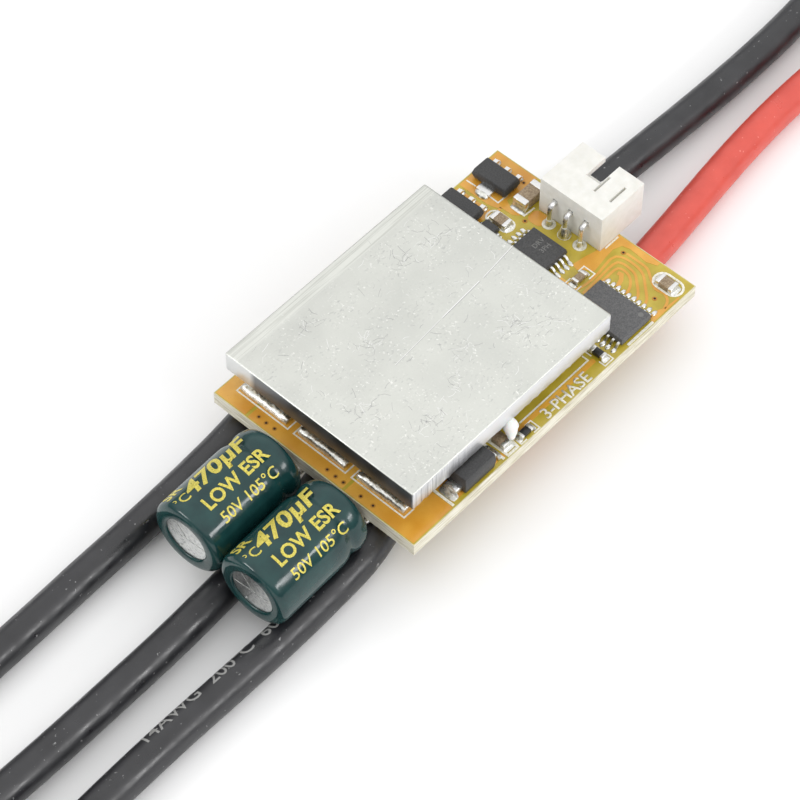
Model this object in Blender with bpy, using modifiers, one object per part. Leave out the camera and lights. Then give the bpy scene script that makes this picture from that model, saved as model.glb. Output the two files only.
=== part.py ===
"""Speed controller for a brushless motor: a bare board with its heat sink, chips, capacitors and leads.

Frame: X runs along the board, from the three motor leads (-X) to the battery leads and signal header (+X).
Z is up and is 0 on the board's underside, and the origin is the middle of that face.
Dimensions are in millimetres and are turned into metres where the meshes are made.
"""
import math

import bmesh
import bpy
from mathutils import Matrix, Vector

MM = 0.001

# ---- driving dimensions ----------------------------------------------------------------------------------
BOARD_LENGTH = 40.8
BOARD_WIDTH = 25.7
BOARD_TOP = 1.6
GAP = 0.05                      # left between pieces that touch

HEAT_SINK_SIZE = (28.0, 23.9, 2.5)
HEAT_SINK_CENTRE = (-4.85, 0.65)
TRANSISTOR_HEIGHT = 2.3
TAB_LENGTH = 1.25
ADHESIVE_THICKNESS = 0.2
TRANSISTOR_PITCH = 7.5          # across the board, between the three motor phases
TRANSISTOR_ROWS = (-13.2, -2.4)  # X of the middle of each package body
TRANSISTOR_MIDDLE_Y = 0.8

LEAD_RADIUS = 1.75              # silicone insulation
CONDUCTOR_RADIUS = 0.95
TIP_LENGTH = 6.0                # tinned length at the free end

CAPACITOR_LENGTH = 12.1
CAPACITOR_RADIUS = 4.05         # over the sleeve
SLEEVE_THICKNESS = 0.14
CAPACITOR_NEAR_X = -22.4        # end that faces the board
CAPACITOR_Z = 1.9
CAPACITOR_SPLAY = 1.7           # degrees, the same for both
CAPACITOR_LEAD_PITCH = 3.5
CAPACITOR_WIRE_RADIUS = 0.3

HEADER_SIZE = (6.35, 7.9, 4.8)
HEADER_NEAR_X = 17.35
HEADER_Y = 0.75
PIN_PITCH = 2.0
PIN_SIZE = 0.5
PIN_HOLE_X = 16.6

ROUND_SIDES = 28
WIRE_SIDES = 8

# Route of each lead's middle line, from its solder joint under the board to its stripped end.
LEAD_REST_Z = -3.2              # where the leads lie on the surface below the board
LEAD_START_Z = -1.9
MOTOR_LEAD_ROUTES = {
    "motor_lead_1": [(-14.5, 10.6, LEAD_START_Z), (-18.5, 10.5, -2.6), (-22.5, 10.35, LEAD_REST_Z),
                     (-28.0, 10.0, LEAD_REST_Z), (-34.0, 9.75, LEAD_REST_Z), (-41.0, 9.6, LEAD_REST_Z),
                     (-48.0, 9.4, LEAD_REST_Z), (-56.0, 9.3, LEAD_REST_Z), (-64.0, 9.7, LEAD_REST_Z),
                     (-72.0, 10.4, LEAD_REST_Z), (-80.0, 11.3, LEAD_REST_Z), (-88.0, 12.4, LEAD_REST_Z),
                     (-96.0, 13.7, LEAD_REST_Z)],
    "motor_lead_2": [(-14.5, 0.7, LEAD_START_Z), (-18.5, 0.4, -2.6), (-22.5, -0.15, LEAD_REST_Z),
                     (-28.0, -0.6, LEAD_REST_Z), (-34.0, -1.0, LEAD_REST_Z), (-41.0, -1.35, LEAD_REST_Z),
                     (-48.0, -1.45, LEAD_REST_Z), (-56.0, -1.5, LEAD_REST_Z), (-64.0, -1.35, LEAD_REST_Z),
                     (-72.0, -1.0, LEAD_REST_Z), (-80.0, -0.55, LEAD_REST_Z), (-88.0, -0.05, LEAD_REST_Z),
                     (-96.0, 0.55, LEAD_REST_Z)],
    "motor_lead_3": [(-14.5, -7.0, LEAD_START_Z), (-18.5, -7.5, -2.6), (-22.5, -8.15, LEAD_REST_Z),
                     (-28.0, -8.5, LEAD_REST_Z), (-34.0, -8.65, LEAD_REST_Z), (-41.0, -8.6, LEAD_REST_Z),
                     (-48.0, -8.5, LEAD_REST_Z), (-56.0, -8.6, LEAD_REST_Z), (-64.0, -8.95, LEAD_REST_Z),
                     (-72.0, -9.55, LEAD_REST_Z), (-80.0, -10.45, LEAD_REST_Z), (-88.0, -11.7, LEAD_REST_Z),
                     (-96.0, -13.1, LEAD_REST_Z)],
}
BATTERY_LEAD_ROUTES = {
    "battery_lead_negative": [(14.0, 4.7, LEAD_START_Z), (18.0, 4.7, -2.6), (22.5, 4.7, LEAD_REST_Z),
                              (28.0, 4.55, LEAD_REST_Z), (34.0, 4.3, LEAD_REST_Z), (40.0, 4.05, LEAD_REST_Z),
                              (46.0, 3.9, LEAD_REST_Z), (52.0, 3.9, LEAD_REST_Z), (58.0, 4.15, LEAD_REST_Z),
                              (66.0, 4.85, LEAD_REST_Z), (74.0, 6.0, LEAD_REST_Z), (82.0, 7.4, LEAD_REST_Z),
                              (90.0, 9.0, LEAD_REST_Z)],
    "battery_lead_positive": [(14.0, -5.75, LEAD_START_Z), (18.0, -5.45, -2.6), (22.5, -4.95, LEAD_REST_Z),
                              (28.0, -4.4, LEAD_REST_Z), (34.0, -3.65, LEAD_REST_Z),
                              (40.0, -3.0, LEAD_REST_Z), (46.0, -2.6, LEAD_REST_Z),
                              (52.0, -2.5, LEAD_REST_Z), (58.0, -2.75, LEAD_REST_Z),
                              (66.0, -3.35, LEAD_REST_Z), (74.0, -4.35, LEAD_REST_Z),
                              (82.0, -5.65, LEAD_REST_Z), (90.0, -7.25, LEAD_REST_Z)],
}

# ---- colours: colour, roughness, metallic ----------------------------------------------------------------
FINISHES = {
    "board": ((0.72, 0.45, 0.08), 0.35, 0.0),
    "aluminium": ((0.80, 0.81, 0.79), 0.35, 1.0),
    "adhesive": ((0.90, 0.90, 0.88), 0.60, 0.0),
    "chip": ((0.06, 0.06, 0.06), 0.55, 0.0),
    "ceramic": ((0.55, 0.44, 0.34), 0.50, 0.0),
    "resistor": ((0.05, 0.05, 0.05), 0.40, 0.0),
    "solder": ((0.75, 0.76, 0.77), 0.25, 1.0),
    "header": ((0.92, 0.91, 0.88), 0.45, 0.0),
    "sleeve": ((0.03, 0.12, 0.11), 0.25, 0.0),
    "rubber": ((0.04, 0.04, 0.04), 0.70, 0.0),
    "winding": ((0.60, 0.55, 0.45), 0.60, 0.0),
    "black_silicone": ((0.03, 0.03, 0.035), 0.45, 0.0),
    "red_silicone": ((0.75, 0.05, 0.03), 0.45, 0.0),
}


def clear_scene():
    for old in list(bpy.data.objects):
        bpy.data.objects.remove(old, do_unlink=True)


def new_collection(name):
    collection = bpy.data.collections.new(name)
    bpy.context.scene.collection.children.link(collection)
    return collection


def make_materials():
    materials = {}
    for name, (colour, roughness, metallic) in FINISHES.items():
        material = bpy.data.materials.new(name)
        material.use_nodes = True
        shader = material.node_tree.nodes["Principled BSDF"]
        shader.inputs["Base Color"].default_value = (*colour, 1.0)
        shader.inputs["Roughness"].default_value = roughness
        shader.inputs["Metallic"].default_value = metallic
        materials[name] = material
    return materials


# ---- modelling helpers -----------------------------------------------------------------------------------
def metres(*values):
    return Vector(values) * MM


def add_object(name, mesh):
    piece = bpy.data.objects.new(name, mesh)
    PARTS.objects.link(piece)
    return piece


def box(name, size, centre, bevel=0.0):
    """A block with its faces square to the axes, with all its edges bevelled where bevel is given."""
    shape = bmesh.new()
    bmesh.ops.create_cube(shape, size=1.0)
    bmesh.ops.scale(shape, vec=metres(*size), verts=shape.verts)
    bmesh.ops.translate(shape, vec=metres(*centre), verts=shape.verts)
    if bevel:
        bmesh.ops.bevel(shape, geom=shape.edges[:], offset=bevel * MM, segments=1, affect="EDGES")
    mesh = bpy.data.meshes.new(name)
    shape.to_mesh(mesh)
    shape.free()
    return add_object(name, mesh)


def chamfered_block(name, size, centre, draft):
    """A moulded package: its sides lean in by draft above and below the middle, where the leads come out."""
    shape = bmesh.new()
    bmesh.ops.create_cube(shape, size=1.0)
    bmesh.ops.scale(shape, vec=metres(*size), verts=shape.verts)
    everything = shape.verts[:] + shape.edges[:] + shape.faces[:]
    bmesh.ops.bisect_plane(shape, geom=everything, plane_co=(0, 0, 0), plane_no=(0, 0, 1))
    for vertex in shape.verts:
        if abs(vertex.co.z) > 1e-6:
            vertex.co.x -= math.copysign(draft * MM, vertex.co.x)
            vertex.co.y -= math.copysign(draft * MM, vertex.co.y)
    bmesh.ops.translate(shape, vec=metres(*centre), verts=shape.verts)
    mesh = bpy.data.meshes.new(name)
    shape.to_mesh(mesh)
    shape.free()
    return add_object(name, mesh)


def curve_to_mesh(piece):
    """Replaces a curve object by the mesh that it evaluates to, with its caps welded."""
    graph = bpy.context.evaluated_depsgraph_get()
    mesh = bpy.data.meshes.new_from_object(piece.evaluated_get(graph))
    shape = bmesh.new()
    shape.from_mesh(mesh)
    bmesh.ops.remove_doubles(shape, verts=shape.verts, dist=1e-7)
    bmesh.ops.recalc_face_normals(shape, faces=shape.faces)
    shape.to_mesh(mesh)
    shape.free()
    solid = add_object(piece.name + "_solid", mesh)
    solid.matrix_world = piece.matrix_world.copy()
    name = piece.name
    bpy.data.objects.remove(piece, do_unlink=True)
    solid.name = name
    return solid


def plate(name, outline, thickness):
    """A flat outline in X and Y, extruded by thickness about Z = 0."""
    curve = bpy.data.curves.new(name, "CURVE")
    curve.dimensions = "2D"
    curve.fill_mode = "BOTH"
    curve.extrude = thickness / 2 * MM
    spline = curve.splines.new("POLY")
    spline.points.add(len(outline) - 1)
    for point, (x, y) in zip(spline.points, outline):
        point.co = (x * MM, y * MM, 0.0, 1.0)
    spline.use_cyclic_u = True
    piece = bpy.data.objects.new(name, curve)
    PARTS.objects.link(piece)
    return curve_to_mesh(piece)


def tube(name, points, radius, sides):
    """A round bar along a run of points, with flat ends."""
    curve = bpy.data.curves.new(name, "CURVE")
    curve.dimensions = "3D"
    curve.bevel_depth = radius * MM
    curve.bevel_resolution = (sides - 4) // 2
    curve.render_resolution_u = 0
    curve.use_fill_caps = True
    spline = curve.splines.new("POLY")
    spline.points.add(len(points) - 1)
    for point, place in zip(spline.points, points):
        point.co = (*metres(*place), 1.0)
    piece = bpy.data.objects.new(name, curve)
    PARTS.objects.link(piece)
    return piece


def turned(name, profile, sides=ROUND_SIDES, closed=False):
    """A profile of (radius, height) turned about Z. It runs down its outer side."""
    mesh = bpy.data.meshes.new(name)
    points = [metres(radius, 0, height) for radius, height in profile]
    edges = [(index, index + 1) for index in range(len(points) - 1)]
    if closed:
        edges.append((len(points) - 1, 0))
    mesh.from_pydata(points, edges, [])
    piece = add_object(name, mesh)
    screw = piece.modifiers.new("turn", "SCREW")
    screw.steps = sides
    screw.render_steps = sides
    screw.use_merge_vertices = True
    screw.merge_threshold = 1e-7
    bake(piece)
    shape = bmesh.new()
    shape.from_mesh(piece.data)
    bmesh.ops.recalc_face_normals(shape, faces=shape.faces)
    shape.to_mesh(piece.data)
    shape.free()
    return piece


def bake(piece):
    """Gives a piece the mesh that its modifiers make, and drops the modifiers."""
    graph = bpy.context.evaluated_depsgraph_get()
    mesh = bpy.data.meshes.new_from_object(piece.evaluated_get(graph))
    piece.modifiers.clear()
    piece.data = mesh
    return piece


def combine(piece, tools, operation="UNION"):
    """Joins the tools to a piece, or cuts them from it, and removes them."""
    for tool in tools:
        step = piece.modifiers.new("combine", "BOOLEAN")
        step.operation = operation
        step.solver = "EXACT"
        step.object = tool
    bake(piece)
    for tool in tools:
        bpy.data.objects.remove(tool, do_unlink=True)
    return piece


def place(piece, location, turn=0.0):
    piece.location = metres(*location)
    piece.rotation_euler = (0, 0, math.radians(turn))
    return piece


def copy_of(piece, name, location):
    twin = bpy.data.objects.new(name, piece.data)
    PARTS.objects.link(twin)
    return place(twin, location)


def finish(piece, material, smooth_angle=0.0):
    piece.data.materials.clear()
    piece.data.materials.append(MATERIALS[material])
    if smooth_angle:
        piece.data.shade_smooth()
        piece.data.set_sharp_from_angle(angle=math.radians(smooth_angle))
    return piece


def smooth_route(route, spacing):
    """Points at a steady spacing on a smooth curve through the route's own points."""
    knots = [Vector(point) for point in route]
    ends = [knots[0] * 2 - knots[1]] + knots + [knots[-1] * 2 - knots[-2]]
    points = []
    for before, start, end, after in zip(ends, ends[1:], ends[2:], ends[3:]):
        steps = max(1, round((end - start).length / spacing))
        for step in range(steps):
            t = step / steps
            points.append(0.5 * (2 * start + (end - before) * t
                                 + (2 * before - 5 * start + 4 * end - after) * t ** 2
                                 + (3 * start - before - 3 * end + after) * t ** 3))
    return points + [knots[-1]]


# ---- packages with leads ---------------------------------------------------------------------------------
def gull_wing(name, reach, height, thickness, width):
    """One bent lead, from inside the package at Y < 0 out to its foot at Y = reach. Its width is along X."""
    knee = reach * 0.4
    outline = [(-0.2, height + thickness / 2), (knee * 0.6, height + thickness / 2),
               (knee + thickness, thickness), (reach, thickness), (reach, 0.0), (knee, 0.0),
               (knee * 0.6 - thickness, height - thickness / 2), (-0.2, height - thickness / 2)]
    lead = plate(name, outline, width)
    # The outline's X becomes Y, its Y becomes Z and its thickness lies along X.
    lead.data.transform(Matrix(((0, 0, 1, 0), (1, 0, 0, 0), (0, 1, 0, 0), (0, 0, 0, 1))))
    return lead


def small_outline_chip(name, length, width, height, leads_a_side, pitch=0.65):
    """A moulded chip with its long side along X and gull-wing leads on both long sides."""
    lift = 0.1
    body = chamfered_block(name, (length, width, height - lift), (0, 0, (height + lift) / 2), 0.08)
    lead = gull_wing(name + "_lead", 1.0, height / 2, 0.15, 0.25)
    lead.data.transform(Matrix.Translation(metres(-(leads_a_side - 1) / 2 * pitch, width / 2, 0)))
    row = lead.modifiers.new("row", "ARRAY")
    row.count = leads_a_side
    row.use_relative_offset = False
    row.use_constant_offset = True
    row.constant_offset_displace = (pitch * MM, 0, 0)
    row.use_merge_vertices = False
    both_sides = lead.modifiers.new("both sides", "MIRROR")
    both_sides.use_axis = (False, True, False)
    both_sides.use_mirror_merge = False
    bake(lead)
    return combine(body, [lead])


def tab_package(name, size, tab_size, lead_offsets, lead_width, lead_reach):
    """A moulded power package: its tab faces -X and its leads +X, and its body is centred at X = Y = 0."""
    length, width, height = size
    body = chamfered_block(name, (length, width, height), (0, 0, height / 2), 0.1)
    tab_length, tab_width, tab_height = tab_size
    tab = box(name + "_tab", (tab_length + 1.0, tab_width, tab_height),
              (-length / 2 - tab_length / 2 + 0.5, 0, tab_height / 2 + 0.001))
    tools = [tab]
    for offset in lead_offsets:
        lead = gull_wing(name + "_lead", lead_reach, height * 0.4, min(0.5, height * 0.25), lead_width)
        lead.data.transform(Matrix.Rotation(math.radians(-90), 4, "Z"))
        lead.data.transform(Matrix.Translation(metres(length / 2, offset, 0)))
        tools.append(lead)
    return combine(body, tools)


def chip_component(name, length, width, height):
    """A chip resistor or capacitor along X, with its two metal end caps a little proud of its body."""
    cap_length = length * 0.22
    body = box(name, (length - 0.1, width - 0.06, height - 0.06), (0, 0, height / 2))
    caps = [box(name + "_cap", (cap_length, width, height), (side * (length - cap_length) / 2, 0, height / 2))
            for side in (-1, 1)]
    return combine(body, caps)


# ---- the board and what lies on it -----------------------------------------------------------------------
def make_board():
    board = box("circuit_board", (BOARD_LENGTH, BOARD_WIDTH, BOARD_TOP), (0, 0, BOARD_TOP / 2))
    holes = []
    for y in pin_rows():
        hole = turned("hole", [(0, 3), (0.45, 3), (0.45, -1), (0, -1)], 16)
        holes.append(place(hole, (PIN_HOLE_X, y, 0)))
    finish(combine(board, holes, "DIFFERENCE"), "board")


def pin_rows():
    return [HEADER_Y + PIN_PITCH * step for step in (1, 0, -1)]


def make_heat_sink():
    bottom = BOARD_TOP + TRANSISTOR_HEIGHT + ADHESIVE_THICKNESS
    height = HEAT_SINK_SIZE[2]
    plate_piece = box("heat_sink", HEAT_SINK_SIZE, (*HEAT_SINK_CENTRE, bottom + height / 2), 0.25)
    finish(plate_piece, "aluminium")


def make_adhesive():
    """A thin bed over the transistors, with one blob squeezed out past the heat sink's side."""
    thickness = ADHESIVE_THICKNESS - 2 * GAP
    middle = BOARD_TOP + TRANSISTOR_HEIGHT + ADHESIVE_THICKNESS / 2
    left = TRANSISTOR_ROWS[0] - 3.1
    right = TRANSISTOR_ROWS[1] + 3.1
    front = TRANSISTOR_MIDDLE_Y - TRANSISTOR_PITCH - 4.3
    back = TRANSISTOR_MIDDLE_Y + TRANSISTOR_PITCH + 3.3
    bed = box("thermal_adhesive", (right - left, back - front, thickness),
              ((left + right) / 2, (front + back) / 2, middle))
    run = tube("run", [(-5.5, front + 0.6, middle), (-5.5, front, middle - 0.2),
                       (-5.5, front - 0.6, middle - 0.5)], 0.8, 8)
    run = curve_to_mesh(run)
    above = box("above", (4, 4, 2), (-5.5, front, middle + thickness / 2 + 1.0))
    combine(run, [above], "DIFFERENCE")
    behind = box("behind", (4, 1, 4), (-5.5, front + 1.2, middle))
    combine(run, [behind], "DIFFERENCE")
    finish(combine(bed, [run]), "adhesive")


def make_transistors():
    """Six power transistors in two rows, each with its tab towards the motor leads."""
    first = tab_package("power_transistor_1", (6.1, 6.5, TRANSISTOR_HEIGHT), (TAB_LENGTH, 5.4, 0.5),
                        (-2.29, 2.29), 0.8, 2.6)
    number = 0
    for row_x in TRANSISTOR_ROWS:
        for step in (1, 0, -1):
            number += 1
            spot = (row_x, TRANSISTOR_MIDDLE_Y + step * TRANSISTOR_PITCH, BOARD_TOP + GAP)
            if number == 1:
                place(first, spot)
            else:
                copy_of(first, f"power_transistor_{number}", spot)
    finish(first, "chip")


def make_tab_solder():
    """The bead of solder along the outer edge of each first-row tab."""
    tab_edge = TRANSISTOR_ROWS[0] - 3.05 - TAB_LENGTH
    outline = [(-1.0, 0.0), (-GAP, 0.0), (-GAP, 0.62), (-0.4, 0.58), (-0.75, 0.36)]
    bead = plate("tab_solder_1", outline, 6.2)
    bead.data.transform(Matrix(((1, 0, 0, 0), (0, 0, -1, 0), (0, 1, 0, 0), (0, 0, 0, 1))))
    spots = [(tab_edge, TRANSISTOR_MIDDLE_Y + step * TRANSISTOR_PITCH, BOARD_TOP + GAP)
             for step in (1, 0, -1)]
    place(bead, spots[0])
    for number, spot in enumerate(spots[1:], 2):
        copy_of(bead, f"tab_solder_{number}", spot)
    finish(bead, "solder")


def make_chips():
    top = BOARD_TOP + GAP
    microcontroller = small_outline_chip("microcontroller", 6.5, 4.4, 1.0, 10)
    finish(place(microcontroller, (12.0, -9.1, top), 90), "chip")
    driver = small_outline_chip("gate_driver", 5.0, 4.4, 1.0, 7)
    finish(place(driver, (12.3, 1.0, top)), "chip")
    regulator = tab_package("voltage_regulator_1", (2.5, 4.5, 1.5), (0.7, 1.7, 0.4),
                            (-1.5, 0, 1.5), 0.45, 0.9)
    finish(place(regulator, (17.05, 10.15, top)), "chip")
    copy_of(regulator, "voltage_regulator_2", (11.75, 10.25, top))


def make_diodes():
    top = BOARD_TOP + GAP
    block = chamfered_block("protection_diode", (4.3, 2.6, 2.15), (0, 0, 1.125), 0.08)
    ends = [box("end", (1.3, 1.5, 0.9), (side * 2.1, 0, 0.45)) for side in (-1, 1)]
    finish(place(combine(block, ends), (-10.9, -11.35, top)), "chip")
    signal = chamfered_block("signal_diode", (1.8, 1.3, 0.9), (0, 0, 0.5), 0.05)
    ends = [box("end", (0.5, 0.4, 0.3), (side * 1.0, 0, 0.15)) for side in (-1, 1)]
    finish(place(combine(signal, ends), (11.9, 6.5, top), 90), "chip")


def make_chip_components():
    """Small two-ended components: name, length, width, height, place on the board, turn and material."""
    rows = [
        ("chip_capacitor_1", 2.0, 1.25, 0.65, (13.55, 6.4), 90, "ceramic"),
        ("chip_capacitor_2", 3.2, 1.6, 1.3, (17.6, 6.2), 0, "ceramic"),
        ("chip_capacitor_3", 2.0, 1.25, 0.65, (18.5, -10.75), 90, "ceramic"),
        ("chip_capacitor_4", 1.6, 0.8, 0.55, (13.35, -3.95), 0, "ceramic"),
        ("chip_capacitor_5", 2.0, 1.25, 0.65, (-6.3, -10.95), 90, "ceramic"),
        ("chip_resistor_1", 1.6, 0.8, 0.5, (-4.05, -12.1), 0, "resistor"),
        ("chip_resistor_2", 1.6, 0.8, 0.5, (7.65, -11.2), 90, "resistor"),
    ]
    for name, length, width, height, (x, y), turn, material in rows:
        piece = chip_component(name, length, width, height)
        finish(place(piece, (x, y, BOARD_TOP + GAP), turn), material)


# ---- signal header ---------------------------------------------------------------------------------------
def make_header():
    """A shrouded three-pin header that faces out over the board's end, with a notch in its top and floor."""
    length, width, height = HEADER_SIZE
    bottom = BOARD_TOP + GAP
    shroud = box("header_shroud", (length, width, height),
                 (HEADER_NEAR_X + length / 2, HEADER_Y, bottom + height / 2), 0.2)
    wall = 0.7
    depth = length - 1.3
    mouth = box("mouth", (depth + 1, width - 2 * wall, height - 2 * wall),
                (HEADER_NEAR_X + length - depth / 2 + 0.5, HEADER_Y, bottom + height / 2))
    notch = box("notch", (4.0, 1.75, height + 2),
                (HEADER_NEAR_X + length - 3.0 + 2.0, HEADER_Y + 0.1, bottom + height / 2))
    tools = [mouth, notch]
    for y in (HEADER_Y - 0.95, HEADER_Y - 2.95):
        tools.append(box("slit", (2.4, 0.3, 1.2), (HEADER_NEAR_X + 3.5, y, bottom + height)))
    for y in pin_rows():
        tools.append(box("pin_hole", (4, PIN_SIZE + 2 * GAP, PIN_SIZE + 2 * GAP),
                         (HEADER_NEAR_X, y, bottom + 2.8)))
    finish(combine(shroud, tools, "DIFFERENCE"), "header")


def make_pins():
    """Each pin runs from inside the shroud back over its hole and down through the board."""
    half = PIN_SIZE / 2
    level = BOARD_TOP + GAP + 2.8
    bend = 0.45
    below = -0.7
    tip = HEADER_NEAR_X + HEADER_SIZE[0] - 1.0
    outline = [(tip, level - half), (tip, level + half), (PIN_HOLE_X - half + bend, level + half),
               (PIN_HOLE_X - half, level + half - bend), (PIN_HOLE_X - half, below),
               (PIN_HOLE_X + half, below), (PIN_HOLE_X + half, level - half)]
    pin = plate("header_pin_1", outline, PIN_SIZE)
    pin.data.transform(Matrix(((1, 0, 0, 0), (0, 0, -1, 0), (0, 1, 0, 0), (0, 0, 0, 1))))
    rows = pin_rows()
    place(pin, (0, rows[0], 0))
    for number, y in enumerate(rows[1:], 2):
        copy_of(pin, f"header_pin_{number}", (0, y, 0))
    finish(pin, "solder")


def make_pin_solder():
    """A cone of solder round each pin where it enters the board."""
    bore = PIN_SIZE / 2 * math.sqrt(2) + 0.06
    profile = [(bore, 1.0), (bore + 0.12, 1.0), (0.55, 0.5), (0.72, 0.0), (bore, 0.0)]
    joint = turned("pin_solder_1", profile, 20, closed=True)
    rows = pin_rows()
    place(joint, (PIN_HOLE_X, rows[0], BOARD_TOP + GAP))
    for number, y in enumerate(rows[1:], 2):
        copy_of(joint, f"pin_solder_{number}", (PIN_HOLE_X, y, BOARD_TOP + GAP))
    finish(joint, "solder", 50)


# ---- electrolytic capacitors -----------------------------------------------------------------------------
def can_profile(radius, length, wall):
    """A drawn can, open at Z = 0, with the groove that grips its bung near the open end."""
    inner = radius - wall
    return [(0, length), (radius - 0.5, length), (radius, length - 0.5), (radius, 3.0), (radius - 0.45, 2.3),
            (radius - 0.45, 1.9), (radius - 0.1, 1.3), (radius - 0.25, 0.25), (radius - 0.7, 0.0),
            (radius - 1.0, 0.15), (radius - 0.75, 0.45), (inner - 0.15, 1.2), (inner - 0.45, 1.8),
            (inner - 0.45, 2.4), (inner, 3.1), (inner, length - 0.6), (inner - 0.2, length - 0.8),
            (0, length - 0.8)]


def sleeve_profile(radius, length, wall, lip_radius):
    """A shrunk tube over the can, turned in over both its ends."""
    inner = radius - wall
    outside = [(lip_radius, length + GAP + wall), (radius - 0.55, length + GAP + wall),
               (radius, length - 0.45), (radius, 3.0), (radius - 0.4, 2.3), (radius - 0.4, 1.9),
               (radius - 0.08, 1.3), (radius - 0.2, 0.1), (radius - 0.75, -GAP - wall),
               (radius - 1.1, -GAP - wall)]
    inside = [(radius - 1.1, -GAP), (inner - 0.68, -GAP), (inner - 0.18, 0.2), (inner - 0.06, 1.3),
              (inner - 0.39, 1.9), (inner - 0.39, 2.3), (inner, 3.0), (inner, length - 0.5),
              (inner - 0.48, length + GAP), (lip_radius, length + GAP)]
    return outside + inside


def bung_profile(radius, wall):
    """The rubber bung, pinched by the can's groove."""
    side = radius - wall - GAP
    return [(0, 3.3), (side - 0.1, 3.3), (side - 0.1, 3.15), (side - 0.5, 2.45), (side - 0.5, 1.75),
            (side - 0.2, 1.2), (side - 0.8, 0.5), (side - 1.0, 0.5), (0, 0.5)]


def make_capacitor(number, y):
    """One electrolytic capacitor on its side, with its leads towards the board. Its own Z points to -X."""
    turn = (0, math.radians(-90), math.radians(CAPACITOR_SPLAY))
    spot = metres(CAPACITOR_NEAR_X, y, CAPACITOR_Z)
    can_radius = CAPACITOR_RADIUS - SLEEVE_THICKNESS - GAP
    length = CAPACITOR_LENGTH - 2 * (GAP + SLEEVE_THICKNESS)
    wall = 0.3
    pieces = {
        "can": turned(f"capacitor_{number}_can", can_profile(can_radius, length, wall)),
        "sleeve": turned(f"capacitor_{number}_sleeve",
                         sleeve_profile(CAPACITOR_RADIUS, length, SLEEVE_THICKNESS, 2.7), closed=True),
        "bung": turned(f"capacitor_{number}_bung", bung_profile(can_radius, wall)),
        "winding": turned(f"capacitor_{number}_winding",
                          [(0, length - 1.4), (can_radius - 0.9, length - 1.4),
                           (can_radius - 0.9, 4.2), (0, 4.2)]),
    }
    bore = CAPACITOR_WIRE_RADIUS + 0.07
    holes = []
    for side in (-1, 1):
        hole = turned("hole", [(0, 5), (bore, 5), (bore, -1), (0, -1)], 12)
        hole.location = metres(0, side * CAPACITOR_LEAD_PITCH / 2, 0)
        holes.append(hole)
    combine(pieces["bung"], holes, "DIFFERENCE")
    looks = {"can": "aluminium", "sleeve": "sleeve", "bung": "rubber", "winding": "winding"}
    for kind, piece in pieces.items():
        piece.location = spot
        piece.rotation_euler = turn
        finish(piece, looks[kind], 40)
    for side, label in ((-1, "negative"), (1, "positive")):
        make_capacitor_lead(f"capacitor_{number}_lead_{label}", y, side * CAPACITOR_LEAD_PITCH / 2)


def make_capacitor_lead(name, y, offset):
    """A wire from the winding out through the bung, down past the board's end and under its edge."""
    swing = Matrix.Rotation(math.radians(CAPACITOR_SPLAY), 3, "Z")
    near = Vector((CAPACITOR_NEAR_X, y, CAPACITOR_Z))
    inside, mouth = (near + swing @ Vector((along, offset, 0)) for along in (-3.9, 0.4))
    under = -CAPACITOR_Z - CAPACITOR_WIRE_RADIUS - GAP
    drop = [(0.95, -0.3), (1.2, -0.8), (1.3, under + 0.7), (1.6, under + 0.2), (2.2, under), (4.4, under)]
    route = [inside, mouth] + [Vector((near.x + along, mouth.y, near.z + down)) for along, down in drop]
    finish(tube(name, route, CAPACITOR_WIRE_RADIUS, 8), "solder")


# ---- leads -----------------------------------------------------------------------------------------------
def make_lead(name, route, material):
    """A silicone-covered lead, the joint that holds it under the board, and its stripped and tinned end."""
    points = smooth_route(route, 4.0)
    finish(tube(name, points, LEAD_RADIUS, WIRE_SIDES), material)
    tip_start = points[-1]
    along = (points[-1] - points[-2]).normalized()
    tip = [tip_start + along * GAP, tip_start + along * (TIP_LENGTH - 0.3), tip_start + along * TIP_LENGTH]
    finish(tube(name + "_tip", tip, CONDUCTOR_RADIUS, WIRE_SIDES), "solder")
    make_lead_joint(name + "_joint", points[0], points[1])


def make_lead_joint(name, start, following):
    """A mound of solder on the underside, over the bared strands that run into the insulation."""
    away = (following - start).normalized()
    outward = math.copysign(1.0, start.x)
    pad_x = start.x - outward * 4.4
    level = -GAP - CONDUCTOR_RADIUS
    route = [(pad_x, start.y, level), (start.x - outward * 2.2, start.y, level - 0.08), start - away * 0.7,
             start - away * GAP]
    strands = tube("strands", route, CONDUCTOR_RADIUS, WIRE_SIDES)
    strands = curve_to_mesh(strands)
    shape = bmesh.new()
    bmesh.ops.create_uvsphere(shape, u_segments=16, v_segments=8, radius=1.0)
    bmesh.ops.scale(shape, vec=metres(3.4, 1.9, 2.1), verts=shape.verts)
    bmesh.ops.translate(shape, vec=metres(pad_x, start.y, -GAP), verts=shape.verts)
    mesh = bpy.data.meshes.new(name)
    shape.to_mesh(mesh)
    shape.free()
    mound = add_object(name, mesh)
    above = box("above", (12, 12, 6), (pad_x, start.y, 3.0 - GAP))
    combine(mound, [strands])
    finish(combine(mound, [above], "DIFFERENCE"), "solder", 40)


def make_leads():
    for name, route in MOTOR_LEAD_ROUTES.items():
        make_lead(name, route, "black_silicone")
    make_lead("battery_lead_negative", BATTERY_LEAD_ROUTES["battery_lead_negative"], "black_silicone")
    make_lead("battery_lead_positive", BATTERY_LEAD_ROUTES["battery_lead_positive"], "red_silicone")


clear_scene()
PARTS = new_collection("speed_controller")
MATERIALS = make_materials()
make_board()
make_heat_sink()
make_adhesive()
make_transistors()
make_tab_solder()
make_chips()
make_diodes()
make_chip_components()
make_header()
make_pins()
make_pin_solder()
make_capacitor(1, 3.25)
make_capacitor(2, -5.15)
make_leads()
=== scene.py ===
# Looks of the brushless motor speed controller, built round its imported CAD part.
# Lengths are in millimetres in the part's own frame: X along the board, Z up, board underside at Z = 0.
import functools
import math
import random

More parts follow.
